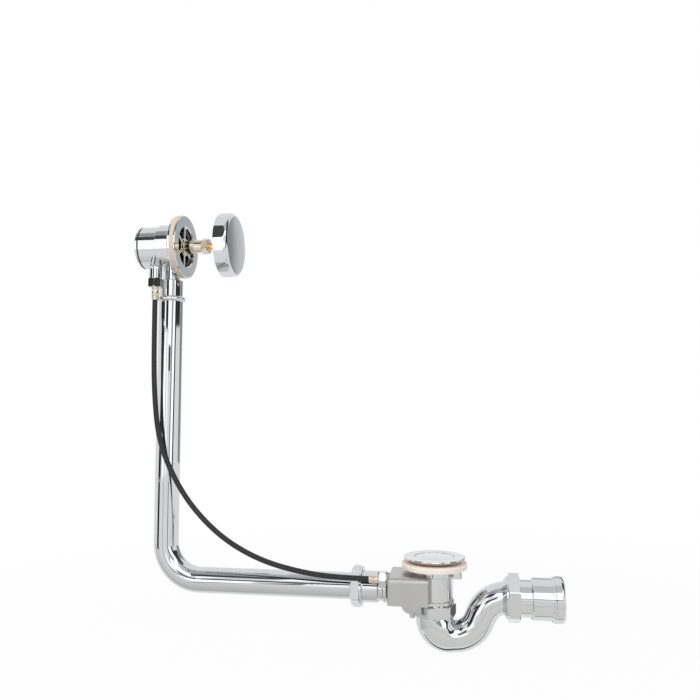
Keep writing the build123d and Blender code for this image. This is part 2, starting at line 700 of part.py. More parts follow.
spindle_sleeve.part.label = "spindle_sleeve"
export_step(spindle_sleeve.part, "parts/spindle_sleeve.step")

with BuildPart() as spindle:
    revolve(
        turned(
            OVERFLOW_HEIGHT,
            (CRANK_BACK, CRANK_SCREW_DIA / 2),
            (CRANK_BACK, SPINDLE_TANG_DIA / 2),
            (CRANK_FRONT, SPINDLE_TANG_DIA / 2),
            (CRANK_FRONT, SPINDLE_DIA / 2),
            (SPINDLE_FRONT - EDGE, SPINDLE_DIA / 2),
            (SPINDLE_FRONT, SPINDLE_DIA / 2 - EDGE),
            (SPINDLE_FRONT, 0),
            (CRANK_BACK + CRANK_SCREW_LENGTH, 0),
            (CRANK_BACK + CRANK_SCREW_LENGTH, CRANK_SCREW_DIA / 2),
        ),
        axis=OVERFLOW_AXIS,
    )

spindle.part.label = "spindle"
export_step(spindle.part, "parts/spindle.step")

# Crank: its slotted fork takes the wire's nipple, and its rest is half a turn's swing below level
CRANK_TIP = REAR_BORE / 2 - CRANK_TIP_CLEAR
with BuildPart() as crank:
    with BuildSketch(facing_x(CRANK_BACK, 0, OVERFLOW_HEIGHT)) as crank_outline:
        with PolarLocations(0, 1, start_angle=180 + HALF_TURN):
            Rectangle(CRANK_TIP, CRANK_ARM_WIDTH, align=(Align.MIN, Align.CENTER))
        Circle(CRANK_TIP, mode=Mode.INTERSECT)
        Circle(CRANK_HUB_DIA / 2)
        Circle(SPINDLE_TANG_DIA / 2, mode=Mode.SUBTRACT)
    extrude(crank_outline.sketch, amount=CRANK_THICK)
    with BuildSketch(facing_x(CRANK_BACK, 0, OVERFLOW_HEIGHT)) as crank_slot:
        with PolarLocations(CABLE_FRONT - NIPPLE_DIA, 1, start_angle=180 + HALF_TURN):
            Rectangle(CABLE_FRONT, NIPPLE_SLOT, align=(Align.MIN, Align.CENTER))
    extrude(crank_slot.sketch, amount=CRANK_THICK, mode=Mode.SUBTRACT)
    with BuildSketch(facing_x(UP_X - WIRE_SLIT / 2, 0, OVERFLOW_HEIGHT)) as crank_slit:
        with PolarLocations(CRANK_HUB_DIA / 2 + EDGE, 1, start_angle=180 + HALF_TURN):
            Rectangle(CABLE_FRONT, CRANK_ARM_WIDTH, align=(Align.MIN, Align.CENTER))
    extrude(crank_slit.sketch, amount=WIRE_SLIT, mode=Mode.SUBTRACT)

crank.part.label = "crank"
export_step(crank.part, "parts/crank.step")

with BuildPart() as crank_screw:
    revolve(
        turned(
            OVERFLOW_HEIGHT,
            (CRANK_BACK - CRANK_SCREW_HEAD, 0),
            (CRANK_BACK - CRANK_SCREW_HEAD, CRANK_SCREW_HEAD_DIA / 2 - EDGE),
            (CRANK_BACK - CRANK_SCREW_HEAD + EDGE, CRANK_SCREW_HEAD_DIA / 2),
            (CRANK_BACK, CRANK_SCREW_HEAD_DIA / 2),
            (CRANK_BACK, CRANK_SCREW_DIA / 2),
            (CRANK_BACK + CRANK_SCREW_LENGTH, CRANK_SCREW_DIA / 2),
            (CRANK_BACK + CRANK_SCREW_LENGTH, 0),
        ),
        axis=OVERFLOW_AXIS,
    )

crank_screw.part.label = "crank_screw"
export_step(crank_screw.part, "parts/crank_screw.step")

# Knob: a hollow faceted cup with a domed front and a hub on the spindle
GRUB_X = KNOB_HUB_BACK + SPINDLE_SEAT / 2
with BuildPart() as knob:
    with BuildSketch(facing_x(KNOB_BACK, 0, OVERFLOW_HEIGHT)) as knob_outline:
        RegularPolygon(radius=KNOB_DIA / 2, side_count=KNOB_SIDES, rotation=KNOB_FACET_TURN)
    extrude(knob_outline.sketch, amount=KNOB_RIM_DEPTH + KNOB_DOME)
    with BuildSketch(Plane.XZ) as knob_blank:
        with BuildLine():
            edge_top = (KNOB_RIM_FRONT - KNOB_EDGE, OVERFLOW_HEIGHT + KNOB_DIA / 2)
            dome_rim = (KNOB_RIM_FRONT, OVERFLOW_HEIGHT + KNOB_DIA / 2 - KNOB_EDGE)
            Polyline(
                (KNOB_FRONT, OVERFLOW_HEIGHT),
                (KNOB_BACK, OVERFLOW_HEIGHT),
                (KNOB_BACK, OVERFLOW_HEIGHT + KNOB_DIA / 2 - EDGE),
                (KNOB_BACK + EDGE, OVERFLOW_HEIGHT + KNOB_DIA / 2),
                edge_top,
            )
            RadiusArc(edge_top, dome_rim, KNOB_EDGE)
            TangentArc(
                (KNOB_FRONT, OVERFLOW_HEIGHT),
                dome_rim,
                tangent=(0, 1),
            )
        make_face()
    revolve(knob_blank.sketch, axis=OVERFLOW_AXIS, mode=Mode.INTERSECT)
    revolve(
        turned(
            OVERFLOW_HEIGHT,
            (KNOB_BACK, KNOB_HUB_DIA / 2),
            (KNOB_BACK, KNOB_DIA / 2 - KNOB_WALL),
            (KNOB_RIM_FRONT - KNOB_EDGE, KNOB_DIA / 2 - KNOB_WALL),
            (KNOB_RIM_FRONT - KNOB_WALL, KNOB_DIA / 2 - 2 * KNOB_WALL),
            (KNOB_RIM_FRONT - KNOB_WALL, KNOB_HUB_DIA / 2),
        ),
        axis=OVERFLOW_AXIS,
        mode=Mode.SUBTRACT,
    )
    with BuildSketch(facing_x(KNOB_BACK, 0, OVERFLOW_HEIGHT)) as hub_face:
        Circle(KNOB_HUB_DIA / 2)
    extrude(hub_face.sketch, amount=KNOB_HUB_RECESS, mode=Mode.SUBTRACT)
    with BuildSketch(facing_x(KNOB_HUB_BACK, 0, OVERFLOW_HEIGHT)) as hub_bore:
        Circle(SPINDLE_DIA / 2)
    extrude(hub_bore.sketch, amount=SPINDLE_SEAT, mode=Mode.SUBTRACT)
    with BuildSketch(Plane.XY.offset(OVERFLOW_HEIGHT)) as grub_hole:
        with Locations((GRUB_X, 0)):
            Circle(GRUB_DIA / 2)
    extrude(grub_hole.sketch, amount=-KNOB_DIA / 2, mode=Mode.SUBTRACT)

knob.part.label = "knob"
export_step(knob.part, "parts/knob.step")

with BuildPart() as knob_grub_screw:
    with BuildSketch(Plane.XY.offset(OVERFLOW_HEIGHT - SPINDLE_DIA / 2 - GRUB_LENGTH)) as grub:
        with Locations((GRUB_X, 0)):
            Circle(GRUB_DIA / 2)
    extrude(grub.sketch, amount=GRUB_LENGTH)
    with BuildSketch(Plane.XY.offset(OVERFLOW_HEIGHT - SPINDLE_DIA / 2 - GRUB_LENGTH)) as grub_key:
        with Locations((GRUB_X, 0)):
            RegularPolygon(radius=GRUB_DIA / 4, side_count=6, major_radius=False)
    extrude(grub_key.sketch, amount=GRUB_LENGTH / 2, mode=Mode.SUBTRACT)
    with BuildSketch(facing_x(KNOB_HUB_BACK, 0, OVERFLOW_HEIGHT)) as spindle_space:
        Circle(SPINDLE_DIA / 2)
    extrude(spindle_space.sketch, amount=SPINDLE_SEAT, mode=Mode.SUBTRACT)

knob_grub_screw.part.label = "knob_grub_screw"
export_step(knob_grub_screw.part, "parts/knob_grub_screw.step")

# Upper cable end
with BuildPart() as upper_wire_end:
    with BuildSketch(Plane.XY.offset(UP_EXIT_Z + FERRULE_FLOOR + EDGE)) as wire:
        with Locations((UP_X, UP_Y)):
            Circle(WIRE_DIA / 2)
    extrude(wire.sketch, amount=UP_NIPPLE_Z - UP_EXIT_Z - FERRULE_FLOOR - EDGE)
    with BuildSketch(facing_x(CRANK_BACK - NIPPLE_OVERHANG, UP_Y, UP_NIPPLE_Z)) as nipple:
        Circle(NIPPLE_DIA / 2)
    extrude(nipple.sketch, amount=CRANK_THICK + 2 * NIPPLE_OVERHANG)

upper_wire_end.part.label = "upper_wire_end"
export_step(upper_wire_end.part, "parts/upper_wire_end.step")

with BuildPart() as upper_ferrule:
    revolve(
        section(
            (UP_X, UP_EXIT_Z),
            (UP_X + FERRULE_DIA / 2 - EDGE, UP_EXIT_Z),
            (UP_X + FERRULE_DIA / 2, UP_EXIT_Z + EDGE),
            (UP_X + FERRULE_DIA / 2, UP_COLLAR_BOTTOM),
            (UP_X + FERRULE_COLLAR_DIA / 2, UP_COLLAR_BOTTOM),
            (UP_X + FERRULE_COLLAR_DIA / 2, UP_THREAD_END),
            (UP_X + FERRULE_BORE / 2, UP_THREAD_END),
            (UP_X + FERRULE_BORE / 2, UP_EXIT_Z + FERRULE_FLOOR),
            (UP_X, UP_EXIT_Z + FERRULE_FLOOR),
        ).moved(Location((0, UP_Y, 0))),
        axis=Axis((UP_X, UP_Y, 0), (0, 0, 1)),
    )

upper_ferrule.part.label = "upper_ferrule"
export_step(upper_ferrule.part, "parts/upper_ferrule.step")

with BuildPart() as upper_cable_nut:
    hexagon_bar(
        Plane(origin=(UP_X, UP_Y, UP_NUT_BOTTOM)),
        UPPER_NUT_FLATS,
        UPPER_NUT_LENGTH,
        UPPER_NUT_TURN,
    )
    revolve(
        section(
            (UP_X, UP_NUT_BOTTOM),
            (UP_X + UPPER_NUT_FLATS / 2, UP_NUT_BOTTOM),
            (UP_X + corner_radius(UPPER_NUT_FLATS), UP_NUT_BOTTOM + 2 * EDGE),
            (UP_X + corner_radius(UPPER_NUT_FLATS), BOSS_END - 2 * EDGE),
            (UP_X + UPPER_NUT_FLATS / 2, BOSS_END),
            (UP_X, BOSS_END),
        ).moved(Location((0, UP_Y, 0))),
        axis=Axis((UP_X, UP_Y, 0), (0, 0, 1)),
        mode=Mode.INTERSECT,
    )
    revolve(
        section(
            (UP_X, UP_NUT_BOTTOM),
            (UP_X + FERRULE_DIA / 2 + PUSH_GAP, UP_NUT_BOTTOM),
            (UP_X + FERRULE_DIA / 2 + PUSH_GAP, UP_COLLAR_BOTTOM),
            (UP_X + BOSS_THREAD_DIA / 2 + THREAD_GAP, UP_COLLAR_BOTTOM),
            (UP_X + BOSS_THREAD_DIA / 2 + THREAD_GAP, BOSS_END),
            (UP_X, BOSS_END),
        ).moved(Location((0, UP_Y, 0))),
        axis=Axis((UP_X, UP_Y, 0), (0, 0, 1)),
        mode=Mode.SUBTRACT,
    )

upper_cable_nut.part.label = "upper_cable_nut"
export_step(upper_cable_nut.part, "parts/upper_cable_nut.step")


# Cable sheath: straight runs between the points, joined by arcs as large as the runs allow
route = [
    Vector(UP_X, UP_Y, UP_EXIT_Z),
    Vector(UP_X, UP_Y, UP_EXIT_Z - CABLE_TOP_RUN),
    *[Vector(*point) for point in CABLE_POINTS],
    Vector(LOW_EXIT_X - CABLE_LOW_RUN, LOW_Y, LOW_Z),
    Vector(LOW_EXIT_X, LOW_Y, LOW_Z),
]
runs = [end - start for start, end in zip(route, route[1:])]
cable_radii = [
    ARC_SHARE * min(before.length, after.length) / tan(radians(before.get_angle(after) / 2))
    for before, after in zip(runs, runs[1:])
]
print("cable bend radii", [round(radius) for radius in cable_radii])
with BuildPart() as cable_sheath:
    with BuildLine() as cable_line:
        FilletPolyline(*route, radius=cable_radii)
    with BuildSketch(Plane(origin=route[0], z_dir=runs[0])) as cable_round:
        Circle(CABLE_DIA / 2)
    sweep(cable_round.sketch, path=cable_line.wire())
print("cable length", round(cable_line.wire().length, 1))

cable_sheath.part.label = "cable_sheath"
export_step(cable_sheath.part, "parts/cable_sheath.step")

# Lower cable end
with BuildPart() as lower_ferrule:
    revolve(
        turned(
            LOW_Z,
            (LOW_EXIT_X, 0),
            (LOW_EXIT_X, FERRULE_DIA / 2 - EDGE),
            (LOW_EXIT_X + EDGE, FERRULE_DIA / 2),
            (LOW_COLLAR_LEFT, FERRULE_DIA / 2),
            (LOW_COLLAR_LEFT, FERRULE_COLLAR_DIA / 2),
            (LOW_THREAD_END, FERRULE_COLLAR_DIA / 2),
            (LOW_THREAD_END, FERRULE_BORE / 2),
            (LOW_EXIT_X + FERRULE_FLOOR, FERRULE_BORE / 2),
            (LOW_EXIT_X + FERRULE_FLOOR, 0),
        ).moved(Location((0, LOW_Y, 0))),
        axis=Axis((0, LOW_Y, LOW_Z), (1, 0, 0)),
    )

lower_ferrule.part.label = "lower_ferrule"
export_step(lower_ferrule.part, "parts/lower_ferrule.step")

with BuildPart() as lower_cable_nut:
    hexagon_bar(
        facing_x(LOW_NUT_LEFT, LOW_Y, LOW_Z),
        LOWER_NUT_FLATS,
        LOW_NUT_RIGHT - LOW_NUT_LEFT,
        LOWER_NUT_TURN,
    )
    revolve(
        turned(
            LOW_Z,
            (LOW_NUT_LEFT, 0),
            (LOW_NUT_LEFT, LOWER_NUT_FLATS / 2),
            (LOW_NUT_LEFT + 2 * EDGE, corner_radius(LOWER_NUT_FLATS)),
            (LOW_NUT_RIGHT - 2 * EDGE, corner_radius(LOWER_NUT_FLATS)),
            (LOW_NUT_RIGHT, LOWER_NUT_FLATS / 2),
            (LOW_NUT_RIGHT, 0),
        ).moved(Location((0, LOW_Y, 0))),
        axis=Axis((0, LOW_Y, LOW_Z), (1, 0, 0)),
        mode=Mode.INTERSECT,
    )
    revolve(
        turned(
            LOW_Z,
            (LOW_NUT_LEFT, 0),
            (LOW_NUT_LEFT, FERRULE_DIA / 2 + PUSH_GAP),
            (LOW_COLLAR_LEFT, FERRULE_DIA / 2 + PUSH_GAP),
            (LOW_COLLAR_LEFT, LOW_BOSS_DIA / 2 + THREAD_GAP),
            (LOW_NUT_RIGHT, LOW_BOSS_DIA / 2 + THREAD_GAP),
            (LOW_NUT_RIGHT, 0),
        ).moved(Location((0, LOW_Y, 0))),
        axis=Axis((0, LOW_Y, LOW_Z), (1, 0, 0)),
        mode=Mode.SUBTRACT,
    )

lower_cable_nut.part.label = "lower_cable_nut"
export_step(lower_cable_nut.part, "parts/lower_cable_nut.step")

FORK_OUTER = WIRE_SLIT / 2 + LEVER_FORK_TINE
with BuildPart() as lower_wire_end:
    with BuildSketch(facing_x(LOW_NIPPLE_X - WIRE_TAIL, LOW_Y, LOW_Z)) as low_wire:
        Circle(WIRE_DIA / 2)
    extrude(low_wire.sketch, amount=WIRE_TAIL)
    with BuildSketch(facing_front(LOW_Y + FORK_OUTER + NIPPLE_OVERHANG)) as low_nipple:
        with Locations((LOW_NIPPLE_X, LOW_Z)):
            Circle(NIPPLE_DIA / 2)
    extrude(low_nipple.sketch, amount=2 * (FORK_OUTER + NIPPLE_OVERHANG))

lower_wire_end.part.label = "lower_wire_end"
export_step(lower_wire_end.part, "parts/lower_wire_end.step")

# Overflow pipe, bent once, with a rolled bead at its upper end
with BuildPart() as overflow_pipe:
    with BuildLine(Plane.XZ) as pipe_line:
        FilletPolyline(
            (PIPE_X, PIPE_TOP),
            (PIPE_X, PIPE_Z),
            (PIPE_END, PIPE_Z),
            radius=PIPE_BEND,
        )
    with BuildSketch(Plane(origin=(PIPE_X, 0, PIPE_TOP), z_dir=(0, 0, -1))) as pipe_round:
        Circle(PIPE_DIA / 2)
    sweep(pipe_round.sketch, path=pipe_line.wire())
    with BuildSketch(Plane.XZ) as bead:
        with Locations((PIPE_X + PIPE_DIA / 2 - EDGE, PIPE_TOP - BEAD_WIDTH / 2)):
            Ellipse((BEAD_DIA - PIPE_DIA) / 2 + EDGE, BEAD_WIDTH / 2)
    revolve(bead.sketch, axis=UPRIGHT_AXIS)
    with BuildSketch(Plane(origin=(PIPE_X, 0, PIPE_TOP), z_dir=(0, 0, -1))) as pipe_bore:
        Circle(PIPE_BORE / 2)
    sweep(pipe_bore.sketch, path=pipe_line.wire(), mode=Mode.SUBTRACT)

overflow_pipe.part.label = "overflow_pipe"
export_step(overflow_pipe.part, "parts/overflow_pipe.step")

with BuildPart() as upper_pipe_seal:
    revolve(
        upright_ring(
            PIPE_X,
            PIPE_TOP - PIPE_SEAL_DROP - PIPE_SEAL_WIDTH,
            PIPE_TOP - PIPE_SEAL_DROP,
            PIPE_BORE - 2 * PIPE_SEAL_DEEP,
            PIPE_BORE,
        ),
        axis=UPRIGHT_AXIS,
    )

upper_pipe_seal.part.label = "upper_pipe_seal"
export_step(upper_pipe_seal.part, "parts/upper_pipe_seal.step")

# Pipe union
with BuildPart() as inlet_connector:
    revolve(
        turned(
            PIPE_Z,
            (CONNECTOR_LEFT, PIPE_DIA / 2 + PUSH_GAP),
            (CONNECTOR_LEFT, CONNECTOR_DIA / 2),
            (GROOVE_LEFT - 2 * EDGE, CONNECTOR_DIA / 2),
            (GROOVE_LEFT, CONNECTOR_DIA / 2 - 2 * EDGE),
            (GROOVE_LEFT, CONNECTOR_GROOVE_DIA / 2),
            (RING_LEFT, CONNECTOR_GROOVE_DIA / 2),
            (RING_LEFT, CONNECTOR_DIA / 2 - 2 * EDGE),
            (RING_LEFT + 2 * EDGE, CONNECTOR_DIA / 2),
            (GASKET_LEFT - 2 * EDGE, CONNECTOR_DIA / 2),
            (GASKET_LEFT, CONNECTOR_DIA / 2 - 2 * EDGE),
            (GASKET_LEFT, CONNECTOR_NECK_DIA / 2),
            (HOUSING_X + HOUSING_WALL, CONNECTOR_NECK_DIA / 2),
            (HOUSING_X + HOUSING_WALL, CONNECTOR_NECK_BORE / 2),
            (PIPE_END, CONNECTOR_NECK_BORE / 2),
            (PIPE_END, PIPE_DIA / 2 + PUSH_GAP),
        ),
        axis=PIPE_AXIS,
    )

inlet_connector.part.label = "inlet_connector"
export_step(inlet_connector.part, "parts/inlet_connector.step")

with BuildPart() as inlet_gasket:
    revolve(
        tube_ring(PIPE_Z, GASKET_LEFT, HOUSING_X, CONNECTOR_NECK_DIA + 2 * PUSH_GAP, GASKET_DIA),
        axis=PIPE_AXIS,
    )

inlet_gasket.part.label = "inlet_gasket"
export_step(inlet_gasket.part, "parts/inlet_gasket.step")

with BuildPart() as union_seal:
    revolve(
        tube_ring(PIPE_Z, UNION_SEAL_LEFT, CONNECTOR_LEFT, PIPE_DIA + 2 * PUSH_GAP, CONNECTOR_DIA),
        axis=PIPE_AXIS,
    )

union_seal.part.label = "union_seal"
export_step(union_seal.part, "parts/union_seal.step")

with BuildPart() as union_slip_ring:
    revolve(
        tube_ring(PIPE_Z, SLIP_RING_LEFT, UNION_SEAL_LEFT, PIPE_DIA + 2 * PUSH_GAP, CONNECTOR_DIA),
        axis=PIPE_AXIS,
    )

union_slip_ring.part.label = "union_slip_ring"
export_step(union_slip_ring.part, "parts/union_slip_ring.step")

with BuildPart() as union_nut:
    hexagon_bar(facing_x(UNION_LEFT, 0, PIPE_Z), UNION_FLATS, UNION_HEX_LENGTH, UNION_TURN)
    revolve(
        turned(
            PIPE_Z,
            (UNION_LEFT, 0),
            (UNION_LEFT, UNION_FLATS / 2 - EDGE),
            (UNION_LEFT + 2 * NUT_CHAMFER, corner_radius(UNION_FLATS)),
            (UNION_RING_LEFT, corner_radius(UNION_FLATS)),
            (UNION_RING_LEFT, 0),
        ),
        axis=PIPE_AXIS,
        mode=Mode.INTERSECT,
    )
    revolve(
        turned(
            PIPE_Z,
            (UNION_RING_LEFT, 0),
            (UNION_RING_LEFT, UNION_RING_DIA / 2 - EDGE),
            (UNION_RING_LEFT + EDGE, UNION_RING_DIA / 2),
            (UNION_RIGHT - EDGE, UNION_RING_DIA / 2),
            (UNION_RIGHT, UNION_RING_DIA / 2 - EDGE),
            (UNION_RIGHT, 0),
        ),
        axis=PIPE_AXIS,
    )
    revolve(
        turned(
            PIPE_Z,
            (UNION_LEFT, 0),
            (UNION_LEFT, PIPE_DIA / 2 + PUSH_GAP),
            (SLIP_RING_LEFT, PIPE_DIA / 2 + PUSH_GAP),
            (SLIP_RING_LEFT, CONNECTOR_DIA / 2 + THREAD_GAP),
            (UNION_RIGHT, CONNECTOR_DIA / 2 + THREAD_GAP),
            (UNION_RIGHT, 0),
        ),
        axis=PIPE_AXIS,
        mode=Mode.SUBTRACT,
    )

union_nut.part.label = "union_nut"
export_step(union_nut.part, "parts/union_nut.step")

# Lever housing: a rounded box with a lobe round the lever's pin, brazed to the waste body
HOUSING_WIDTH = HOUSING_FRONT + HOUSING_REAR
HOUSING_HEIGHT = HOUSING_BOTTOM - HOUSING_TOP
HOUSING_LENGTH = HOUSING_LEFT - HOUSING_RIGHT
CAVITY_RIGHT = -HOUSING_RIGHT - HOUSING_WALL - EDGE
with BuildPart() as lever_housing:
    with BuildSketch(facing_front(HOUSING_REAR)) as box_outline:
        with Locations(((HOUSING_X - HOUSING_RIGHT) / 2, -(HOUSING_TOP + HOUSING_BOTTOM) / 2)):
            Rectangle(HOUSING_LENGTH, HOUSING_HEIGHT)
        with Locations((PIVOT_X, PIVOT_Z)):
            Circle(LOBE_DIA / 2)
    extrude(box_outline.sketch, amount=HOUSING_WIDTH)
    top_edges = lever_housing.edges().filter_by(Axis.X).group_by(Axis.Z)[-1]
    fillet(top_edges.sort_by(Axis.Y)[0:1], HOUSING_BROW)
    long_edges = lever_housing.edges().filter_by(Axis.Y).group_by(Axis.Z)[-1].sort_by(Axis.X)[0:1]
    side_edges = lever_housing.edges().filter_by(Axis.Z).group_by(Axis.X)[0]
    brow_end = lever_housing.edges().filter_by(GeomType.CIRCLE).group_by(Axis.X)[0]
    rear_edge = lever_housing.edges().filter_by(Axis.X).group_by(Axis.Z)[-1].sort_by(Axis.Y)[-1:]
    fillet(long_edges + side_edges + brow_end + rear_edge, HOUSING_ROUND)
    with BuildSketch(facing_front(HOUSING_REAR - HOUSING_WALL)) as cavity:
        with Locations(((HOUSING_X + HOUSING_WALL + CAVITY_RIGHT) / 2, -(HOUSING_TOP + HOUSING_BOTTOM) / 2)):
            Rectangle(CAVITY_RIGHT - HOUSING_X - HOUSING_WALL, HOUSING_HEIGHT - 2 * HOUSING_WALL)
        with Locations((PIVOT_X, PIVOT_Z)):
            Circle(LOBE_BORE / 2)
    extrude(cavity.sketch, amount=HOUSING_WIDTH - 2 * HOUSING_WALL, mode=Mode.SUBTRACT)
    revolve(
        section(
            (0, TRAP_NUT_BOTTOM),
            (corner_radius(TRAP_NUT_FLATS) + FREE_GAP, TRAP_NUT_BOTTOM),
            (corner_radius(TRAP_NUT_FLATS) + FREE_GAP, TRAP_NUT_TOP + FREE_GAP),
            (TAIL_BEAD_DIA / 2 + PUSH_GAP, TRAP_NUT_TOP + FREE_GAP),
            (TAIL_BEAD_DIA / 2 + PUSH_GAP, -TAIL_BEAD_TOP + PUSH_GAP),
            (TAIL_DIA / 2 + PUSH_GAP, -TAIL_BEAD_TOP + PUSH_GAP),
            (TAIL_DIA / 2 + PUSH_GAP, COLLAR_BOTTOM - PUSH_GAP),
            (COLLAR_DIA / 2 + PUSH_GAP, COLLAR_BOTTOM - PUSH_GAP),
            (COLLAR_DIA / 2 + PUSH_GAP, 0),
            (0, 0),
        ),
        axis=Axis.Z,
        mode=Mode.SUBTRACT,
    )
    with BuildSketch(facing_x(LOW_THREAD_END, LOW_Y, LOW_Z)) as low_boss:
        Circle(LOW_BOSS_DIA / 2)
    extrude(low_boss.sketch, amount=LOW_BOSS_LENGTH + HOUSING_WALL / 2)
    with BuildSketch(facing_x(LOW_THREAD_END, LOW_Y, LOW_Z)) as low_wire_hole:
        Circle(WIRE_HOLE_DIA / 2)
    extrude(low_wire_hole.sketch, amount=LOW_BOSS_LENGTH + HOUSING_WALL, mode=Mode.SUBTRACT)
    with BuildSketch(facing_x(HOUSING_X, 0, PIPE_Z)) as inlet_hole:
        Circle(CONNECTOR_NECK_DIA / 2 + THREAD_GAP)
    extrude(inlet_hole.sketch, amount=HOUSING_WALL, mode=Mode.SUBTRACT)
    with BuildSketch(facing_front(HOUSING_REAR)) as pin_hole:
        with Locations((PIVOT_X, PIVOT_Z)):
            Circle(LEVER_PIN_DIA / 2)
    extrude(pin_hole.sketch, amount=HOUSING_WIDTH - HOUSING_WALL / 2, mode=Mode.SUBTRACT)
    with BuildSketch(Plane.XY.offset(PIVOT_Z - LOBE_DIA / 2)) as stop_hole:
        with Locations((-STOP_BACK, -STOP_FRONT)):
            Circle(STOP_SHANK_DIA / 2)
    extrude(stop_hole.sketch, amount=STOP_SHANK, mode=Mode.SUBTRACT)

lever_housing.part.label = "lever_housing"
export_step(lever_housing.part, "parts/lever_housing.step")

# Lever: one hub, a tip under the plug's stem and a slotted fork for the wire's nipple
TIP_X = PIVOT_X + LEVER_TIP_REACH * cos(radians(LEVER_HALF))
TIP_Z = PIVOT_Z - LEVER_TIP_REACH * sin(radians(LEVER_HALF))
FORK_END = LEVER_ARM + LEVER_FORK_PAST
HUB_FRONT = LOW_Y - FORK_OUTER
with BuildPart() as lever:
    with BuildSketch(facing_front(LEVER_HUB_REAR)) as lever_hub:
        with Locations((PIVOT_X, PIVOT_Z)):
            Circle(LEVER_HUB_DIA / 2)
    extrude(lever_hub.sketch, amount=LEVER_HUB_REAR - HUB_FRONT)
    with BuildSketch(facing_front(LEVER_ARM_THICK / 2)) as tip_arm:
        with Locations((PIVOT_X, PIVOT_Z)):
            Circle(LEVER_TIP_DIA / 2)
        with Locations((TIP_X, TIP_Z)):
            Circle(LEVER_TIP_DIA / 2)
        make_hull()
    extrude(tip_arm.sketch, amount=LEVER_ARM_THICK)
    with BuildSketch(facing_front(LOW_Y + FORK_OUTER)) as fork:
        with Locations(Location((PIVOT_X, PIVOT_Z, 0), -LEVER_HALF)):
            Rectangle(LEVER_FORK_WIDTH, FORK_END, align=(Align.CENTER, Align.MIN))
    extrude(fork.sketch, amount=2 * FORK_OUTER)
    with BuildSketch(facing_front(LOW_Y + FORK_OUTER)) as fork_slot:
        with Locations(Location((PIVOT_X, PIVOT_Z, 0), -LEVER_HALF)):
            with Locations((0, LEVER_ARM - NIPPLE_DIA)):
                Rectangle(NIPPLE_SLOT, LEVER_ARM, align=(Align.CENTER, Align.MIN))
    extrude(fork_slot.sketch, amount=2 * FORK_OUTER, mode=Mode.SUBTRACT)
    with BuildSketch(facing_front(LOW_Y + WIRE_SLIT / 2)) as fork_slit:
        with Locations(Location((PIVOT_X, PIVOT_Z, 0), -LEVER_HALF)):
            with Locations((0, LEVER_HUB_DIA / 2 + EDGE)):
                Rectangle(LEVER_FORK_WIDTH, LEVER_ARM, align=(Align.CENTER, Align.MIN))
    extrude(fork_slit.sketch, amount=WIRE_SLIT, mode=Mode.SUBTRACT)
    with BuildSketch(facing_front(LEVER_HUB_REAR)) as hub_hole:
        with Locations((PIVOT_X, PIVOT_Z)):
            Circle(LEVER_PIN_DIA / 2 + RUNNING_GAP)
    extrude(hub_hole.sketch, amount=LEVER_HUB_REAR - HUB_FRONT, mode=Mode.SUBTRACT)

lever.part.label = "lever"
export_step(lever.part, "parts/lever.step")

with BuildPart() as lever_pin:
    with BuildSketch(facing_front(HOUSING_REAR)) as pin_round:
        with Locations((PIVOT_X, PIVOT_Z)):
            Circle(LEVER_PIN_DIA / 2)
    extrude(pin_round.sketch, amount=HOUSING_WIDTH - HOUSING_WALL / 2)

lever_pin.part.label = "lever_pin"
export_step(lever_pin.part, "parts/lever_pin.step")

with BuildPart() as stop_screw:
    hexagon_bar(
        Plane(origin=(-STOP_BACK, -STOP_FRONT, PIVOT_Z - LOBE_DIA / 2 - STOP_HEAD)),
        STOP_FLATS,
        STOP_HEAD,
        0,
    )
    chamfer(stop_screw.faces().sort_by(Axis.Z)[0].edges(), 2 * EDGE)
    with BuildSketch(Plane.XY.offset(PIVOT_Z - LOBE_DIA / 2)) as stop_shank:
        with Locations((-STOP_BACK, -STOP_FRONT)):
            Circle(STOP_SHANK_DIA / 2)
    extrude(stop_shank.sketch, amount=STOP_SHANK)

stop_screw.part.label = "stop_screw"
export_step(stop_screw.part, "parts/stop_screw.step")

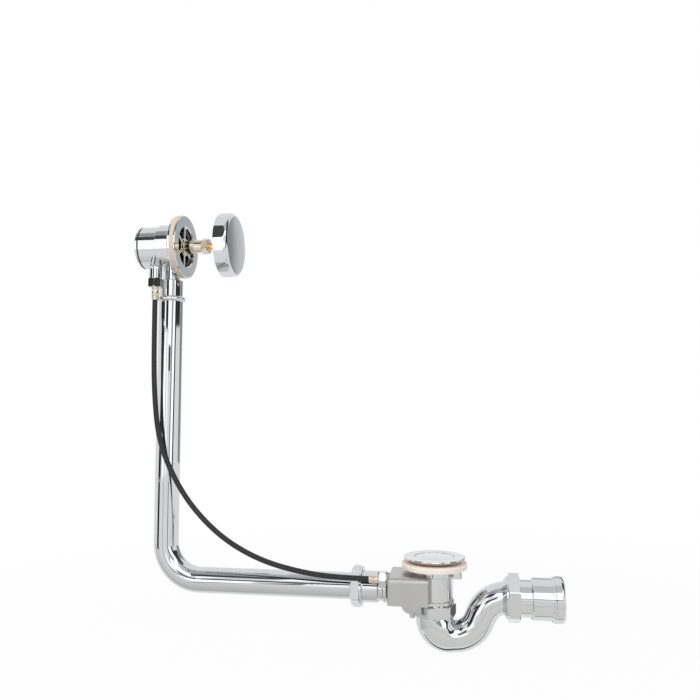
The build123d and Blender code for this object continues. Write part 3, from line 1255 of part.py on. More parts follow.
# Waste body: neck, washer collar with its lug, tail, bead and trap thread
with BuildPart() as waste_body:
    revolve(
        section(
            (0, TAIL_END),
            (TAIL_THREAD_DIA / 2 - EDGE, TAIL_END),
            (TAIL_THREAD_DIA / 2, TAIL_END + EDGE),
            (TAIL_THREAD_DIA / 2, TAIL_BEAD_BOTTOM),
            (TAIL_BEAD_DIA / 2 - EDGE, TAIL_BEAD_BOTTOM),
            (TAIL_BEAD_DIA / 2, TAIL_BEAD_BOTTOM + EDGE),
            (TAIL_BEAD_DIA / 2, -TAIL_BEAD_TOP - EDGE),
            (TAIL_BEAD_DIA / 2 - EDGE, -TAIL_BEAD_TOP),
            (TAIL_DIA / 2, -TAIL_BEAD_TOP),
            (TAIL_DIA / 2, COLLAR_BOTTOM),
            (COLLAR_DIA / 2 - EDGE, COLLAR_BOTTOM),
            (COLLAR_DIA / 2, COLLAR_BOTTOM + EDGE),
            (COLLAR_DIA / 2, COLLAR_TOP),
            (BODY_NECK_DIA / 2, COLLAR_TOP),
            (BODY_NECK_DIA / 2, -FLANGE_HUB_DEPTH),
            (0, -FLANGE_HUB_DEPTH),
        ),
        axis=Axis.Z,
    )
    with BuildSketch(Plane.XY.offset(COLLAR_TOP)) as lug:
        with Locations((LUG_REACH / 2, 0)):
            Rectangle(LUG_REACH, LUG_WIDTH)
    extrude(lug.sketch, amount=-LUG_DEPTH)
    lug_end = waste_body.faces().sort_by(Axis.X)[-1]
    fillet(lug_end.edges().filter_by(Axis.Z), LUG_WIDTH / 4)
    fillet(waste_body.faces().sort_by(Axis.X)[-1].edges().group_by(Axis.Z)[0], 2 * EDGE)
    revolve(
        section(
            (0, TAIL_END),
            (TAIL_BORE / 2, TAIL_END),
            (TAIL_BORE / 2, -FLANGE_LENGTH),
            (FLANGE_THREAD_DIA / 2 + THREAD_GAP, -FLANGE_LENGTH),
            (FLANGE_THREAD_DIA / 2 + THREAD_GAP, -FLANGE_HUB_DEPTH),
            (0, -FLANGE_HUB_DEPTH),
        ),
        axis=Axis.Z,
        mode=Mode.SUBTRACT,
    )
    with BuildSketch(Plane.XY.offset(-WINDOW_BOTTOM)) as window:
        with Locations((-TAIL_BEAD_DIA / 2, 0)):
            Rectangle(TAIL_BEAD_DIA, WINDOW_WIDTH)
    extrude(window.sketch, amount=WINDOW_BOTTOM - WINDOW_TOP, mode=Mode.SUBTRACT)

waste_body.part.label = "waste_body"
export_step(waste_body.part, "parts/waste_body.step")

with BuildPart() as waste_washer:
    revolve(
        upright_ring(0, COLLAR_TOP, COLLAR_TOP + WASHER_THICK, BODY_NECK_DIA + 2 * PUSH_GAP, WASHER_DIA),
        axis=Axis.Z,
    )
    fillet(waste_washer.edges().filter_by(GeomType.CIRCLE).group_by(SortBy.LENGTH)[-1], 2 * EDGE)

waste_washer.part.label = "waste_washer"
export_step(waste_washer.part, "parts/waste_washer.step")

# Waste flange: a thin rim, the plug's recess and seat, and a threaded neck with the stem's guide
with BuildPart() as waste_flange:
    revolve(
        section(
            (RECESS_DIA / 2, FLANGE_RISE - FLANGE_DISH),
            (FLANGE_DIA / 2 - 2 * EDGE, FLANGE_RISE),
            (FLANGE_DIA / 2 - EDGE / 2, FLANGE_RISE - EDGE / 2),
            (FLANGE_DIA / 2, FLANGE_RISE - 2 * EDGE),
            (FLANGE_DIA / 2 - EDGE / 2, EDGE / 2),
            (FLANGE_DIA / 2 - 2 * EDGE, 0),
            (FLANGE_HUB_DIA / 2, 0),
            (FLANGE_HUB_DIA / 2, -FLANGE_HUB_DEPTH),
            (FLANGE_THREAD_DIA / 2, -FLANGE_HUB_DEPTH),
            (FLANGE_THREAD_DIA / 2, -FLANGE_LENGTH),
            (FLANGE_BORE / 2, -FLANGE_LENGTH),
            (FLANGE_BORE / 2, PLUG_SEAT),
            (PLUG_SEAL_DIA / 2 + FREE_GAP, PLUG_SEAT),
            (PLUG_SEAL_DIA / 2 + FREE_GAP, PLUG_BOTTOM - FREE_GAP),
            (RECESS_DIA / 2, PLUG_BOTTOM - FREE_GAP),
        ),
        axis=Axis.Z,
    )
    with BuildSketch(Plane.XY.offset(-GUIDE_BOTTOM)) as guide:
        Circle(GUIDE_DIA / 2)
    extrude(guide.sketch, amount=GUIDE_BOTTOM - GUIDE_TOP)
    with BuildSketch(Plane.XY.offset(-FLANGE_LENGTH)) as guide_arms:
        with PolarLocations(0, GUIDE_ARMS, start_angle=90):
            Rectangle(
                (FLANGE_BORE + FLANGE_THREAD_DIA) / 4,
                GUIDE_ARM_WIDTH,
                align=(Align.MIN, Align.CENTER),
            )
    extrude(guide_arms.sketch, amount=GUIDE_ARM_DEPTH)
    with BuildSketch(Plane.XY.offset(-GUIDE_BOTTOM)) as guide_bore:
        Circle(STEM_DIA / 2 + RUNNING_GAP)
    extrude(guide_bore.sketch, amount=GUIDE_BOTTOM - GUIDE_TOP, mode=Mode.SUBTRACT)

waste_flange.part.label = "waste_flange"
export_step(waste_flange.part, "parts/waste_flange.step")

with BuildPart() as flange_seal:
    revolve(
        upright_ring(0, -FLANGE_SEAL_THICK, 0, FLANGE_HUB_DIA + 2 * PUSH_GAP, FLANGE_SEAL_DIA),
        axis=Axis.Z,
    )

flange_seal.part.label = "flange_seal"
export_step(flange_seal.part, "parts/flange_seal.step")

# Plug, its seal, stem and foot
with BuildPart() as plug:
    with BuildSketch(Plane.XZ) as plug_section:
        with BuildLine():
            rim = (PLUG_DIA / 2 - EDGE / 2, PLUG_TOP)
            crown = (0, PLUG_TOP + PLUG_CROWN)
            Polyline(
                crown,
                (0, PLUG_HUB_BOTTOM + STEM_SEAT),
                (STEM_DIA / 2, PLUG_HUB_BOTTOM + STEM_SEAT),
                (STEM_DIA / 2, PLUG_HUB_BOTTOM),
                (PLUG_HUB_DIA / 2, PLUG_HUB_BOTTOM),
                (PLUG_HUB_DIA / 2, PLUG_BOTTOM),
                (PLUG_DIA / 2, PLUG_BOTTOM),
                (PLUG_DIA / 2, PLUG_TOP - EDGE / 2),
                rim,
            )
            TangentArc(crown, rim, tangent=(1, 0))
        make_face()
    revolve(plug_section.sketch, axis=Axis.Z)

plug.part.label = "plug"
export_step(plug.part, "parts/plug.step")

with BuildPart() as plug_seal:
    revolve(
        upright_ring(0, PLUG_SEAT, PLUG_BOTTOM, PLUG_HUB_DIA + 2 * PUSH_GAP, PLUG_SEAL_DIA),
        axis=Axis.Z,
    )

plug_seal.part.label = "plug_seal"
export_step(plug_seal.part, "parts/plug_seal.step")

with BuildPart() as plug_stem:
    with BuildSketch(Plane.XY.offset(FOOT_BOTTOM + EDGE)) as stem_round:
        Circle(STEM_DIA / 2)
    extrude(stem_round.sketch, amount=PLUG_HUB_BOTTOM + STEM_SEAT - FOOT_BOTTOM - EDGE)

plug_stem.part.label = "plug_stem"
export_step(plug_stem.part, "parts/plug_stem.step")

with BuildPart() as stem_foot:
    revolve(
        section(
            (0, FOOT_BOTTOM),
            (FOOT_DIA / 2 - EDGE, FOOT_BOTTOM),
            (FOOT_DIA / 2, FOOT_BOTTOM + EDGE),
            (FOOT_DIA / 2, FOOT_BOTTOM + FOOT_THICK - EDGE),
            (FOOT_DIA / 2 - EDGE, FOOT_BOTTOM + FOOT_THICK),
            (STEM_DIA / 2, FOOT_BOTTOM + FOOT_THICK),
            (STEM_DIA / 2, FOOT_BOTTOM + EDGE),
            (0, FOOT_BOTTOM + EDGE),
        ),
        axis=Axis.Z,
    )

stem_foot.part.label = "stem_foot"
export_step(stem_foot.part, "parts/stem_foot.step")

# Trap: nut, washer and the swept bend with its two made ends
with BuildPart() as trap_nut:
    hexagon_bar(Plane.XY.offset(TRAP_NUT_BOTTOM), TRAP_NUT_FLATS, TRAP_NUT_LENGTH, TRAP_NUT_TURN)
    revolve(
        section(
            (0, TRAP_NUT_BOTTOM),
            (TRAP_NUT_FLATS / 2, TRAP_NUT_BOTTOM),
            (corner_radius(TRAP_NUT_FLATS), TRAP_NUT_BOTTOM + NUT_CHAMFER),
            (corner_radius(TRAP_NUT_FLATS), TRAP_NUT_TOP - NUT_CHAMFER),
            (TRAP_NUT_FLATS / 2, TRAP_NUT_TOP),
            (0, TRAP_NUT_TOP),
        ),
        axis=Axis.Z,
        mode=Mode.INTERSECT,
    )
    revolve(
        section(
            (0, TRAP_NUT_BOTTOM),
            (TRAP_NECK_DIA / 2 + PUSH_GAP, TRAP_NUT_BOTTOM),
            (TRAP_NECK_DIA / 2 + PUSH_GAP, TRAP_FLANGE_BOTTOM),
            (TAIL_THREAD_DIA / 2 + THREAD_GAP, TRAP_FLANGE_BOTTOM),
            (TAIL_THREAD_DIA / 2 + THREAD_GAP, TRAP_NUT_TOP),
            (0, TRAP_NUT_TOP),
        ),
        axis=Axis.Z,
        mode=Mode.SUBTRACT,
    )

trap_nut.part.label = "trap_nut"
export_step(trap_nut.part, "parts/trap_nut.step")

with BuildPart() as trap_washer:
    revolve(
        upright_ring(0, TRAP_WASHER_BOTTOM, TAIL_END, TRAP_NECK_DIA - 2 * TRAP_WALL, TAIL_THREAD_DIA - 2 * EDGE),
        axis=Axis.Z,
    )

trap_washer.part.label = "trap_washer"
export_step(trap_washer.part, "parts/trap_washer.step")

# The bends' centres set the slope of the straight between them
BEND_LOW_Z = TRAP_NUT_BOTTOM - TRAP_BEND
BEND_SWEEP_Z = BEND_LOW_Z + TRAP_SWEEP_BEND
BEND_HIGH_Z = OUTLET_Z - TRAP_RISE_BEND
BEND_ACROSS = TRAP_RISE - TRAP_BEND
BEND_DOWN = BEND_SWEEP_Z - BEND_HIGH_Z
BEND_SPAN = (BEND_ACROSS**2 + BEND_DOWN**2) ** 0.5
SLOPE = asin((TRAP_SWEEP_BEND + TRAP_RISE_BEND) / BEND_SPAN) - atan(BEND_DOWN / BEND_ACROSS)


def bowl_round(share, diameter):
    """A round across the bowl's quarter bend, at a share of its turn."""
    turn = radians(180 + 90 * share)
    middle = (TRAP_BEND + TRAP_BEND * cos(turn), 0, TRAP_NUT_BOTTOM + TRAP_BEND * sin(turn))
    with BuildSketch(Plane(origin=middle, x_dir=(0, 1, 0), z_dir=(-sin(turn), 0, cos(turn)))) as outline:
        Circle(diameter / 2)
    return outline.sketch


def bowl(top, end):
    """Loft the bowl below the nut, from its top's diameter through its swell to the tube's."""
    shares = [step / BOWL_STEPS for step in range(BOWL_STEPS + 1)]
    widths = [top + (end - top) * share + TRAP_BOWL_SWELL * sin(pi * share) for share in shares]
    return loft([bowl_round(share, width) for share, width in zip(shares, widths)], mode=Mode.PRIVATE)


def riser(diameter):
    """Sweep a round from the bottom of the trap to its level end."""
    with BuildLine(Plane.XZ) as riser_line:
        CenterArc((TRAP_BEND, BEND_SWEEP_Z), TRAP_SWEEP_BEND, 270, degrees(SLOPE))
        Line(
            (TRAP_BEND + TRAP_SWEEP_BEND * sin(SLOPE), BEND_SWEEP_Z - TRAP_SWEEP_BEND * cos(SLOPE)),
            (TRAP_RISE - TRAP_RISE_BEND * sin(SLOPE), BEND_HIGH_Z + TRAP_RISE_BEND * cos(SLOPE)),
        )
        CenterArc((TRAP_RISE, BEND_HIGH_Z), TRAP_RISE_BEND, 90 + degrees(SLOPE), -degrees(SLOPE))
        Line((TRAP_RISE, OUTLET_Z), (OUTLET_THREAD_END, OUTLET_Z))
    with BuildSketch(facing_x(TRAP_BEND, 0, BEND_LOW_Z)) as riser_round:
        Circle(diameter / 2)
    return sweep(riser_round.sketch, path=riser_line.wire(), mode=Mode.PRIVATE)


with BuildPart() as trap_bend:
    add(bowl(TRAP_BOWL_DIA, TRAP_DIA))
    add(riser(TRAP_DIA))
    with BuildSketch(Plane.XY.offset(TRAP_NUT_BOTTOM)) as trap_neck:
        Circle(TRAP_NECK_DIA / 2)
    extrude(trap_neck.sketch, amount=TRAP_FLANGE_BOTTOM - TRAP_NUT_BOTTOM)
    with BuildSketch(Plane.XY.offset(TRAP_FLANGE_BOTTOM)) as trap_flange:
        Circle(TAIL_THREAD_DIA / 2 - EDGE)
    extrude(trap_flange.sketch, amount=TRAP_FLANGE_THICK)
    revolve(
        turned(
            OUTLET_Z,
            (FLARE_FACE - FLARE_LENGTH, 0),
            (FLARE_FACE - FLARE_LENGTH, TRAP_DIA / 2 - EDGE),
            (FLARE_FACE - 2 * EDGE, FLARE_DIA / 2),
            (FLARE_FACE, FLARE_DIA / 2),
            (FLARE_FACE, OUTLET_THREAD_DIA / 2),
            (OUTLET_THREAD_END, OUTLET_THREAD_DIA / 2),
            (OUTLET_THREAD_END, 0),
        ),
        axis=OUTLET_AXIS,
    )
    add(bowl(TRAP_NECK_DIA - 2 * TRAP_WALL, TRAP_DIA - 2 * TRAP_WALL), mode=Mode.SUBTRACT)
    add(riser(TRAP_DIA - 2 * TRAP_WALL), mode=Mode.SUBTRACT)
    with BuildSketch(Plane.XY.offset(TRAP_NUT_BOTTOM)) as trap_mouth:
        Circle(TRAP_NECK_DIA / 2 - TRAP_WALL)
    extrude(trap_mouth.sketch, amount=TAIL_END - TRAP_NUT_BOTTOM, mode=Mode.SUBTRACT)

trap_bend.part.label = "trap_bend"
export_step(trap_bend.part, "parts/trap_bend.step")

# Trap outlet
with BuildPart() as outlet_nut:
    hexagon_bar(facing_x(FLARE_FACE, 0, OUTLET_Z), OUTLET_NUT_FLATS, OUTLET_NUT_LENGTH, OUTLET_NUT_TURN)
    revolve(
        turned(
            OUTLET_Z,
            (FLARE_FACE, 0),
            (FLARE_FACE, OUTLET_NUT_FLATS / 2),
            (FLARE_FACE + NUT_CHAMFER, corner_radius(OUTLET_NUT_FLATS)),
            (OUTLET_NUT_END - NUT_CHAMFER, corner_radius(OUTLET_NUT_FLATS)),
            (OUTLET_NUT_END, OUTLET_NUT_FLATS / 2),
            (OUTLET_NUT_END, 0),
        ),
        axis=OUTLET_AXIS,
        mode=Mode.INTERSECT,
    )
    revolve(
        turned(
            OUTLET_Z,
            (FLARE_FACE, 0),
            (FLARE_FACE, OUTLET_THREAD_DIA / 2 + THREAD_GAP),
            (OUTLET_FLANGE_END, OUTLET_THREAD_DIA / 2 + THREAD_GAP),
            (OUTLET_FLANGE_END, NECK_TUBE_DIA / 2 + PUSH_GAP),
            (OUTLET_NUT_END, NECK_TUBE_DIA / 2 + PUSH_GAP),
            (OUTLET_NUT_END, 0),
        ),
        axis=OUTLET_AXIS,
        mode=Mode.SUBTRACT,
    )

outlet_nut.part.label = "outlet_nut"
export_step(outlet_nut.part, "parts/outlet_nut.step")

with BuildPart() as outlet_washer:
    revolve(
        tube_ring(
            OUTLET_Z,
            OUTLET_THREAD_END,
            OUTLET_WASHER_END,
            NECK_TUBE_BORE,
            OUTLET_THREAD_DIA - 2 * PUSH_GAP,
        ),
        axis=OUTLET_AXIS,
    )

outlet_washer.part.label = "outlet_washer"
export_step(outlet_washer.part, "parts/outlet_washer.step")

with BuildPart() as outlet_coupling:
    revolve(
        turned(
            OUTLET_Z,
            (OUTLET_WASHER_END, NECK_TUBE_BORE / 2),
            (OUTLET_WASHER_END, OUTLET_THREAD_DIA / 2 - PUSH_GAP),
            (OUTLET_FLANGE_END, OUTLET_THREAD_DIA / 2 - PUSH_GAP),
            (OUTLET_FLANGE_END, NECK_TUBE_DIA / 2),
            (SOCKET_BACK, NECK_TUBE_DIA / 2),
            (SOCKET_BACK, SOCKET_DIA / 2 - 2 * EDGE),
            (SOCKET_BACK + 2 * EDGE, SOCKET_DIA / 2),
            (SOCKET_END, SOCKET_DIA / 2),
            (SOCKET_END, WASTE_PIPE_BORE / 2),
            (SOCKET_BACK + SOCKET_FLOOR, WASTE_PIPE_BORE / 2),
            (SOCKET_BACK + SOCKET_FLOOR, NECK_TUBE_BORE / 2),
        ),
        axis=OUTLET_AXIS,
    )

outlet_coupling.part.label = "outlet_coupling"
export_step(outlet_coupling.part, "parts/outlet_coupling.step")

with BuildPart() as outlet_seal:
    revolve(
        tube_ring(OUTLET_Z, SOCKET_END, OUTLET_SEAL_END, WASTE_PIPE_BORE, SOCKET_DIA),
        axis=OUTLET_AXIS,
    )

outlet_seal.part.label = "outlet_seal"
export_step(outlet_seal.part, "parts/outlet_seal.step")

with BuildPart() as outlet_ring:
    revolve(
        turned(
            OUTLET_Z,
            (RING_BACK, SOCKET_DIA / 2 + THREAD_GAP),
            (RING_BACK, RING_WAIST_DIA / 2 - EDGE),
            (RING_BACK + EDGE, RING_WAIST_DIA / 2),
            (RING_BACK + RING_BEAD, RING_WAIST_DIA / 2),
            (RING_BACK + RING_BEAD + EDGE, RING_DIA / 2),
            (RING_END, RING_DIA / 2),
            (RING_END, WASTE_PIPE_BORE / 2),
            (OUTLET_SEAL_END, WASTE_PIPE_BORE / 2),
            (OUTLET_SEAL_END, SOCKET_DIA / 2 + THREAD_GAP),
        ),
        axis=OUTLET_AXIS,
    )
    fillet(outlet_ring.edges().group_by(Axis.X)[-1].sort_by(SortBy.LENGTH)[-1:], RING_LIP)

outlet_ring.part.label = "outlet_ring"
export_step(outlet_ring.part, "parts/outlet_ring.step")
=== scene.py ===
"""Dresses the bath waste and overflow: finishes, cable, modelled details, studio and camera."""

import logging
import math
from abc import ABC, abstractmethod
from collections.abc import Callable
from dataclasses import dataclass, field
from enum import Enum

import bmesh
import bpy
from mathutils import Matrix, Vector


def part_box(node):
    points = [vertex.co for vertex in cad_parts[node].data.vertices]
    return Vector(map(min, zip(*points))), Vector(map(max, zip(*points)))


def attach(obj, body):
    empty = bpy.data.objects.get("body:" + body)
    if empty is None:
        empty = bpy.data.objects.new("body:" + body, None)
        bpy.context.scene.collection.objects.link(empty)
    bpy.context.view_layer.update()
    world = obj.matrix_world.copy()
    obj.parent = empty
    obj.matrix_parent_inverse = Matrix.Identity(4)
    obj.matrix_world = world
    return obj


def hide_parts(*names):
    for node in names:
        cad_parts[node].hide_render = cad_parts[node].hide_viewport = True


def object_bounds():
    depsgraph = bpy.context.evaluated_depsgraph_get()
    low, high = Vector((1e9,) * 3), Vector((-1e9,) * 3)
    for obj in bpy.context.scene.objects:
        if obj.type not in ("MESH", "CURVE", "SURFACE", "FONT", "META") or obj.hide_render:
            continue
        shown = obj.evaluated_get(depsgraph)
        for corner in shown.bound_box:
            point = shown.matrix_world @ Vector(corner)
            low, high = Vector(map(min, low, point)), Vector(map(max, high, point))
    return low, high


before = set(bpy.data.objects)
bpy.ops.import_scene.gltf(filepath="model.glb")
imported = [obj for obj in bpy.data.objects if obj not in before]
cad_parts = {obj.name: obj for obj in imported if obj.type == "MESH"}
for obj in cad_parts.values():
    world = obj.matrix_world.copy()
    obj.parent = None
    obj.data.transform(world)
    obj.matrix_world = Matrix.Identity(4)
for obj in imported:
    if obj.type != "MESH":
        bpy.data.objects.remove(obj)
CAD_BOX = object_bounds()
LOG = logging.getLogger("bath_waste")

MM = 0.001
# Corners this near to each other, or to a plane, count as one place.
MERGE = 1e-6
# A face looks along an axis where its normal has more than this share along it.
FACING = 0.9
Point = tuple[float, float, float]
Color = tuple[float, float, float]
Ends = tuple[float, float]
WHITE: Color = (1.0, 1.0, 1.0)
COOL: Color = (0.96, 0.985, 1.01)
# The object's middle, which the lamps are aimed at and the cards stand round.
MIDDLE: Point = (-0.115, 0.0, 0.165)
# The floor lies this far under the object, with the floor's panels in between.
FLOOR_GAP = 0.4 * MM
FLOOR_HEIGHT = CAD_BOX[0].z - FLOOR_GAP


class Body(Enum):
    """The bodies that the modelled pieces ride on."""

    FRAME = "frame"
    KNOB = "knob_body"


def give(node: bpy.types.Node, values: dict[str, float | tuple[float, ...]]) -> None:
    """Set a node's inputs by their names."""
    for name, value in values.items():
        node.inputs[name].default_value = value


@dataclass(frozen=True)
class Finish:
    """A surface: its colour, its shine, and how both wander over the piece."""

    name: str
    color: Color
    wander_color: Color
    metallic: float
    roughness: float
    wander_roughness: float
    grain_per_metre: float
    bump_mm: float
    sheen: float = 0.0
    grain_detail: float = 5.0
    cloud_per_metre: float = 18.0
    cloud_detail: float = 3.0
    cloud_ends: Ends = (0.36, 0.66)
    shine_ends: Ends = (0.12, 0.40)

    def material(self) -> bpy.types.Material:
        """Make the finish's node material, or fetch it if it is already made.

        Returns:
            The material, whose patterns read Object coordinates.
        """
        made = bpy.data.materials.get(self.name)
        if made is not None:
            return made
        made = bpy.data.materials.new(self.name)
        made.use_nodes = True
        tree = made.node_tree
        shader = tree.nodes["Principled BSDF"]
        give(shader, {"Metallic": self.metallic, "Sheen Weight": self.sheen})
        place = tree.nodes.new("ShaderNodeTexCoord")
        clouds = self._noise(tree, place, self.cloud_per_metre, self.cloud_detail)
        grain = self._noise(tree, place, self.grain_per_metre, self.grain_detail)
        self._color(tree, shader, clouds)
        self._shine(tree, shader, clouds, grain)
        self._relief(tree, shader, grain)
        return made

    def _noise(
        self, tree: bpy.types.NodeTree, place: bpy.types.Node, per_metre: float, detail: float
    ) -> bpy.types.Node:
        """Add a noise pattern on Object coordinates.

        Args:
            tree: The material's nodes.
            place: The Texture Coordinate node.
            per_metre: How often the pattern repeats.
            detail: How many finer layers it has.

        Returns:
            The noise node.
        """
        noise = tree.nodes.new("ShaderNodeTexNoise")
        give(noise, {"Scale": per_metre, "Detail": detail})
        tree.links.new(place.outputs["Object"], noise.inputs["Vector"])
        return noise

    def _color(
        self, tree: bpy.types.NodeTree, shader: bpy.types.Node, clouds: bpy.types.Node
    ) -> None:
        """Let the colour wander between its two values.

        Args:
            tree: The material's nodes.
            shader: The surface shader.
            clouds: The wide noise.
        """
        ramp = tree.nodes.new("ShaderNodeValToRGB")
        colors = (self.color, self.wander_color)
        for stop, position, color in zip(ramp.color_ramp.elements, self.cloud_ends, colors):
            stop.position = position
            stop.color = (*color, 1.0)
        tree.links.new(clouds.outputs["Fac"], ramp.inputs["Fac"])
        tree.links.new(ramp.outputs["Color"], shader.inputs["Base Color"])

    def _shine(
        self,
        tree: bpy.types.NodeTree,
        shader: bpy.types.Node,
        clouds: bpy.types.Node,
        grain: bpy.types.Node,
    ) -> None:
        """Let the roughness wander with both noises.

        Args:
            tree: The material's nodes.
            shader: The surface shader.
            clouds: The wide noise.
            grain: The fine noise.
        """
        both = tree.nodes.new("ShaderNodeMath")
        both.operation = "MULTIPLY"
        spread = tree.nodes.new("ShaderNodeMapRange")
        give(spread, {"From Min": self.shine_ends[0], "From Max": self.shine_ends[1]})
        give(spread, {"To Min": self.roughness, "To Max": self.roughness + self.wander_roughness})
        tree.links.new(clouds.outputs["Fac"], both.inputs[0])
        tree.links.new(grain.outputs["Fac"], both.inputs[1])
        tree.links.new(both.outputs["Value"], spread.inputs["Value"])
        tree.links.new(spread.outputs["Result"], shader.inputs["Roughness"])

    def _relief(
        self, tree: bpy.types.NodeTree, shader: bpy.types.Node, grain: bpy.types.Node
    ) -> None:
        """Raise the fine noise as a bump.

        Args:
            tree: The material's nodes.
            shader: The surface shader.
            grain: The fine noise.
        """
        if self.bump_mm <= 0.0:
            return
        bump = tree.nodes.new("ShaderNodeBump")
        give(bump, {"Strength": 1.0, "Distance": self.bump_mm * MM})
        tree.links.new(grain.outputs["Fac"], bump.inputs["Height"])
        tree.links.new(bump.outputs["Normal"], shader.inputs["Normal"])


class Finishes(Enum):
    """The finishes of the object's pieces."""

    CHROME = Finish(
        "chrome_plate",
        color=(0.66, 0.67, 0.68),
        wander_color=(0.62, 0.63, 0.645),
        metallic=1.0,
        roughness=0.025,
        wander_roughness=0.03,
        grain_per_metre=240.0,
        bump_mm=0.0006,
    )
    SATIN = Finish(
        "satin_plate",
        color=(0.52, 0.52, 0.515),
        wander_color=(0.47, 0.47, 0.465),
        metallic=1.0,
        roughness=0.33,
        wander_roughness=0.08,
        grain_per_metre=2600.0,
        bump_mm=0.02,
    )
    NICKEL = Finish(
        "warm_nickel",
        color=(0.70, 0.62, 0.52),
        wander_color=(0.67, 0.585, 0.48),
        metallic=1.0,
        roughness=0.09,
        wander_roughness=0.04,
        grain_per_metre=900.0,
        bump_mm=0.001,
    )
    BRASS = Finish(
        "bare_brass",
        color=(0.83, 0.58, 0.24),
        wander_color=(0.74, 0.47, 0.17),
        metallic=1.0,
        roughness=0.16,
        wander_roughness=0.10,
        grain_per_metre=900.0,
        bump_mm=0.006,
    )
    STEEL = Finish(
        "plain_steel",
        color=(0.56, 0.56, 0.57),
        wander_color=(0.47, 0.47, 0.48),
        metallic=1.0,
        roughness=0.26,
        wander_roughness=0.10,
        grain_per_metre=1400.0,
        bump_mm=0.006,
    )
    CREAM = Finish(
        "moulded_cream",
        color=(0.95, 0.86, 0.77),
        wander_color=(0.96, 0.88, 0.80),
        metallic=0.0,
        roughness=0.52,
        wander_roughness=0.08,
        grain_per_metre=900.0,
        bump_mm=0.0,
        sheen=0.10,
    )
    BEIGE = Finish(
        "moulded_beige",
        color=(0.68, 0.565, 0.46),
        wander_color=(0.72, 0.605, 0.50),
        metallic=0.0,
        roughness=0.52,
        wander_roughness=0.08,
        grain_per_metre=900.0,
        bump_mm=0.0,
        sheen=0.10,
    )
    # The thin seal under the flange. Its brown is partly the seal's own and partly painted shade: the
    # cream washer's top as it looks in the shade under the flange.
    BROWN = Finish(
        "moulded_brown",
        color=(0.60, 0.40, 0.29),
        wander_color=(0.66, 0.46, 0.34),
        metallic=0.0,
        roughness=0.55,
        wander_roughness=0.10,
        grain_per_metre=900.0,
        bump_mm=0.003,
        sheen=0.1,
    )
    BLACK = Finish(
        "moulded_black",
        color=(0.018, 0.018, 0.019),
        wander_color=(0.028, 0.027, 0.027),
        metallic=0.0,
        roughness=0.5,
        wander_roughness=0.14,
        grain_per_metre=1500.0,
        bump_mm=0.03,
    )
    CABLE = Finish(
        "cable_sheath_black",
        color=(0.008, 0.008, 0.009),
        wander_color=(0.013, 0.013, 0.014),
        metallic=0.0,
        roughness=0.36,
        wander_roughness=0.12,
        grain_per_metre=1900.0,
        bump_mm=0.010,
    )


SLOT_FINISHES: dict[str, Finishes] = {
    "chrome": Finishes.CHROME,
    "satin_grey": Finishes.SATIN,
    "nickel": Finishes.NICKEL,
    "brass": Finishes.BRASS,
    "steel": Finishes.STEEL,
    "cream_rubber": Finishes.CREAM,
    "brown_rubber": Finishes.BROWN,
    "black_rubber": Finishes.BLACK,
    "cable_black": Finishes.CABLE,
}


@dataclass
class CableRun:
    """The sheathed cable from the overflow head down to the lever housing."""

    diameter: float = 6.6 * MM
    length: float = 0.5227
    section_steps: int = 6
    run_steps: int = 16
    route_order: int = 3
    route_mm: tuple[Point, ...] = (
        (-357.5, -21.5, 321.5),
        (-357.5, -21.5, 262.0),
        (-355.6, -22.2, 202.0),
        (-348.2, -23.0, 142.5),
        (-328.5, -23.8, 97.5),
        (-300.8, -24.3, 56.8),
        (-260.6, -24.7, 20.0),
        (-212.4, -24.9, -4.9),
        (-160.0, -25.0, -17.6),
        (-115.0, -25.0, -22.2),
        (-76.8, -25.0, -22.2),
    )

    def build(self) -> bpy.types.Object:
        """Lay the sheath as one smooth curve along its route.

        Returns:
            The cable's curve object.
        """
        curve = bpy.data.curves.new("cable_sheath_curve", "CURVE")
        curve.dimensions = "3D"
        curve.bevel_depth = self.diameter / 2
        curve.bevel_resolution = self.section_steps
        curve.use_fill_caps = True
        curve.resolution_u = self.run_steps
        spline = curve.splines.new("NURBS")
        spline.points.add(len(self.route_mm) - 1)
        for point, place in zip(spline.points, self.route_mm):
            point.co = (*(Vector(place) * MM), 1.0)
        spline.order_u = self.route_order
        spline.use_endpoint_u = True
        cable = bpy.data.objects.new("cable_sheath_cord", curve)
        bpy.context.scene.collection.objects.link(cable)
        return cable

    def dress(self, cable: bpy.types.Object) -> None:
        """Give the cable its finish, put it on the frame's body and hide the solid that it stands for.

        Args:
            cable: The curve object.
        """
        cable.data.materials.append(Finishes.CABLE.value.material())
        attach(cable, Body.FRAME.value)
        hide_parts("cable_sheath")


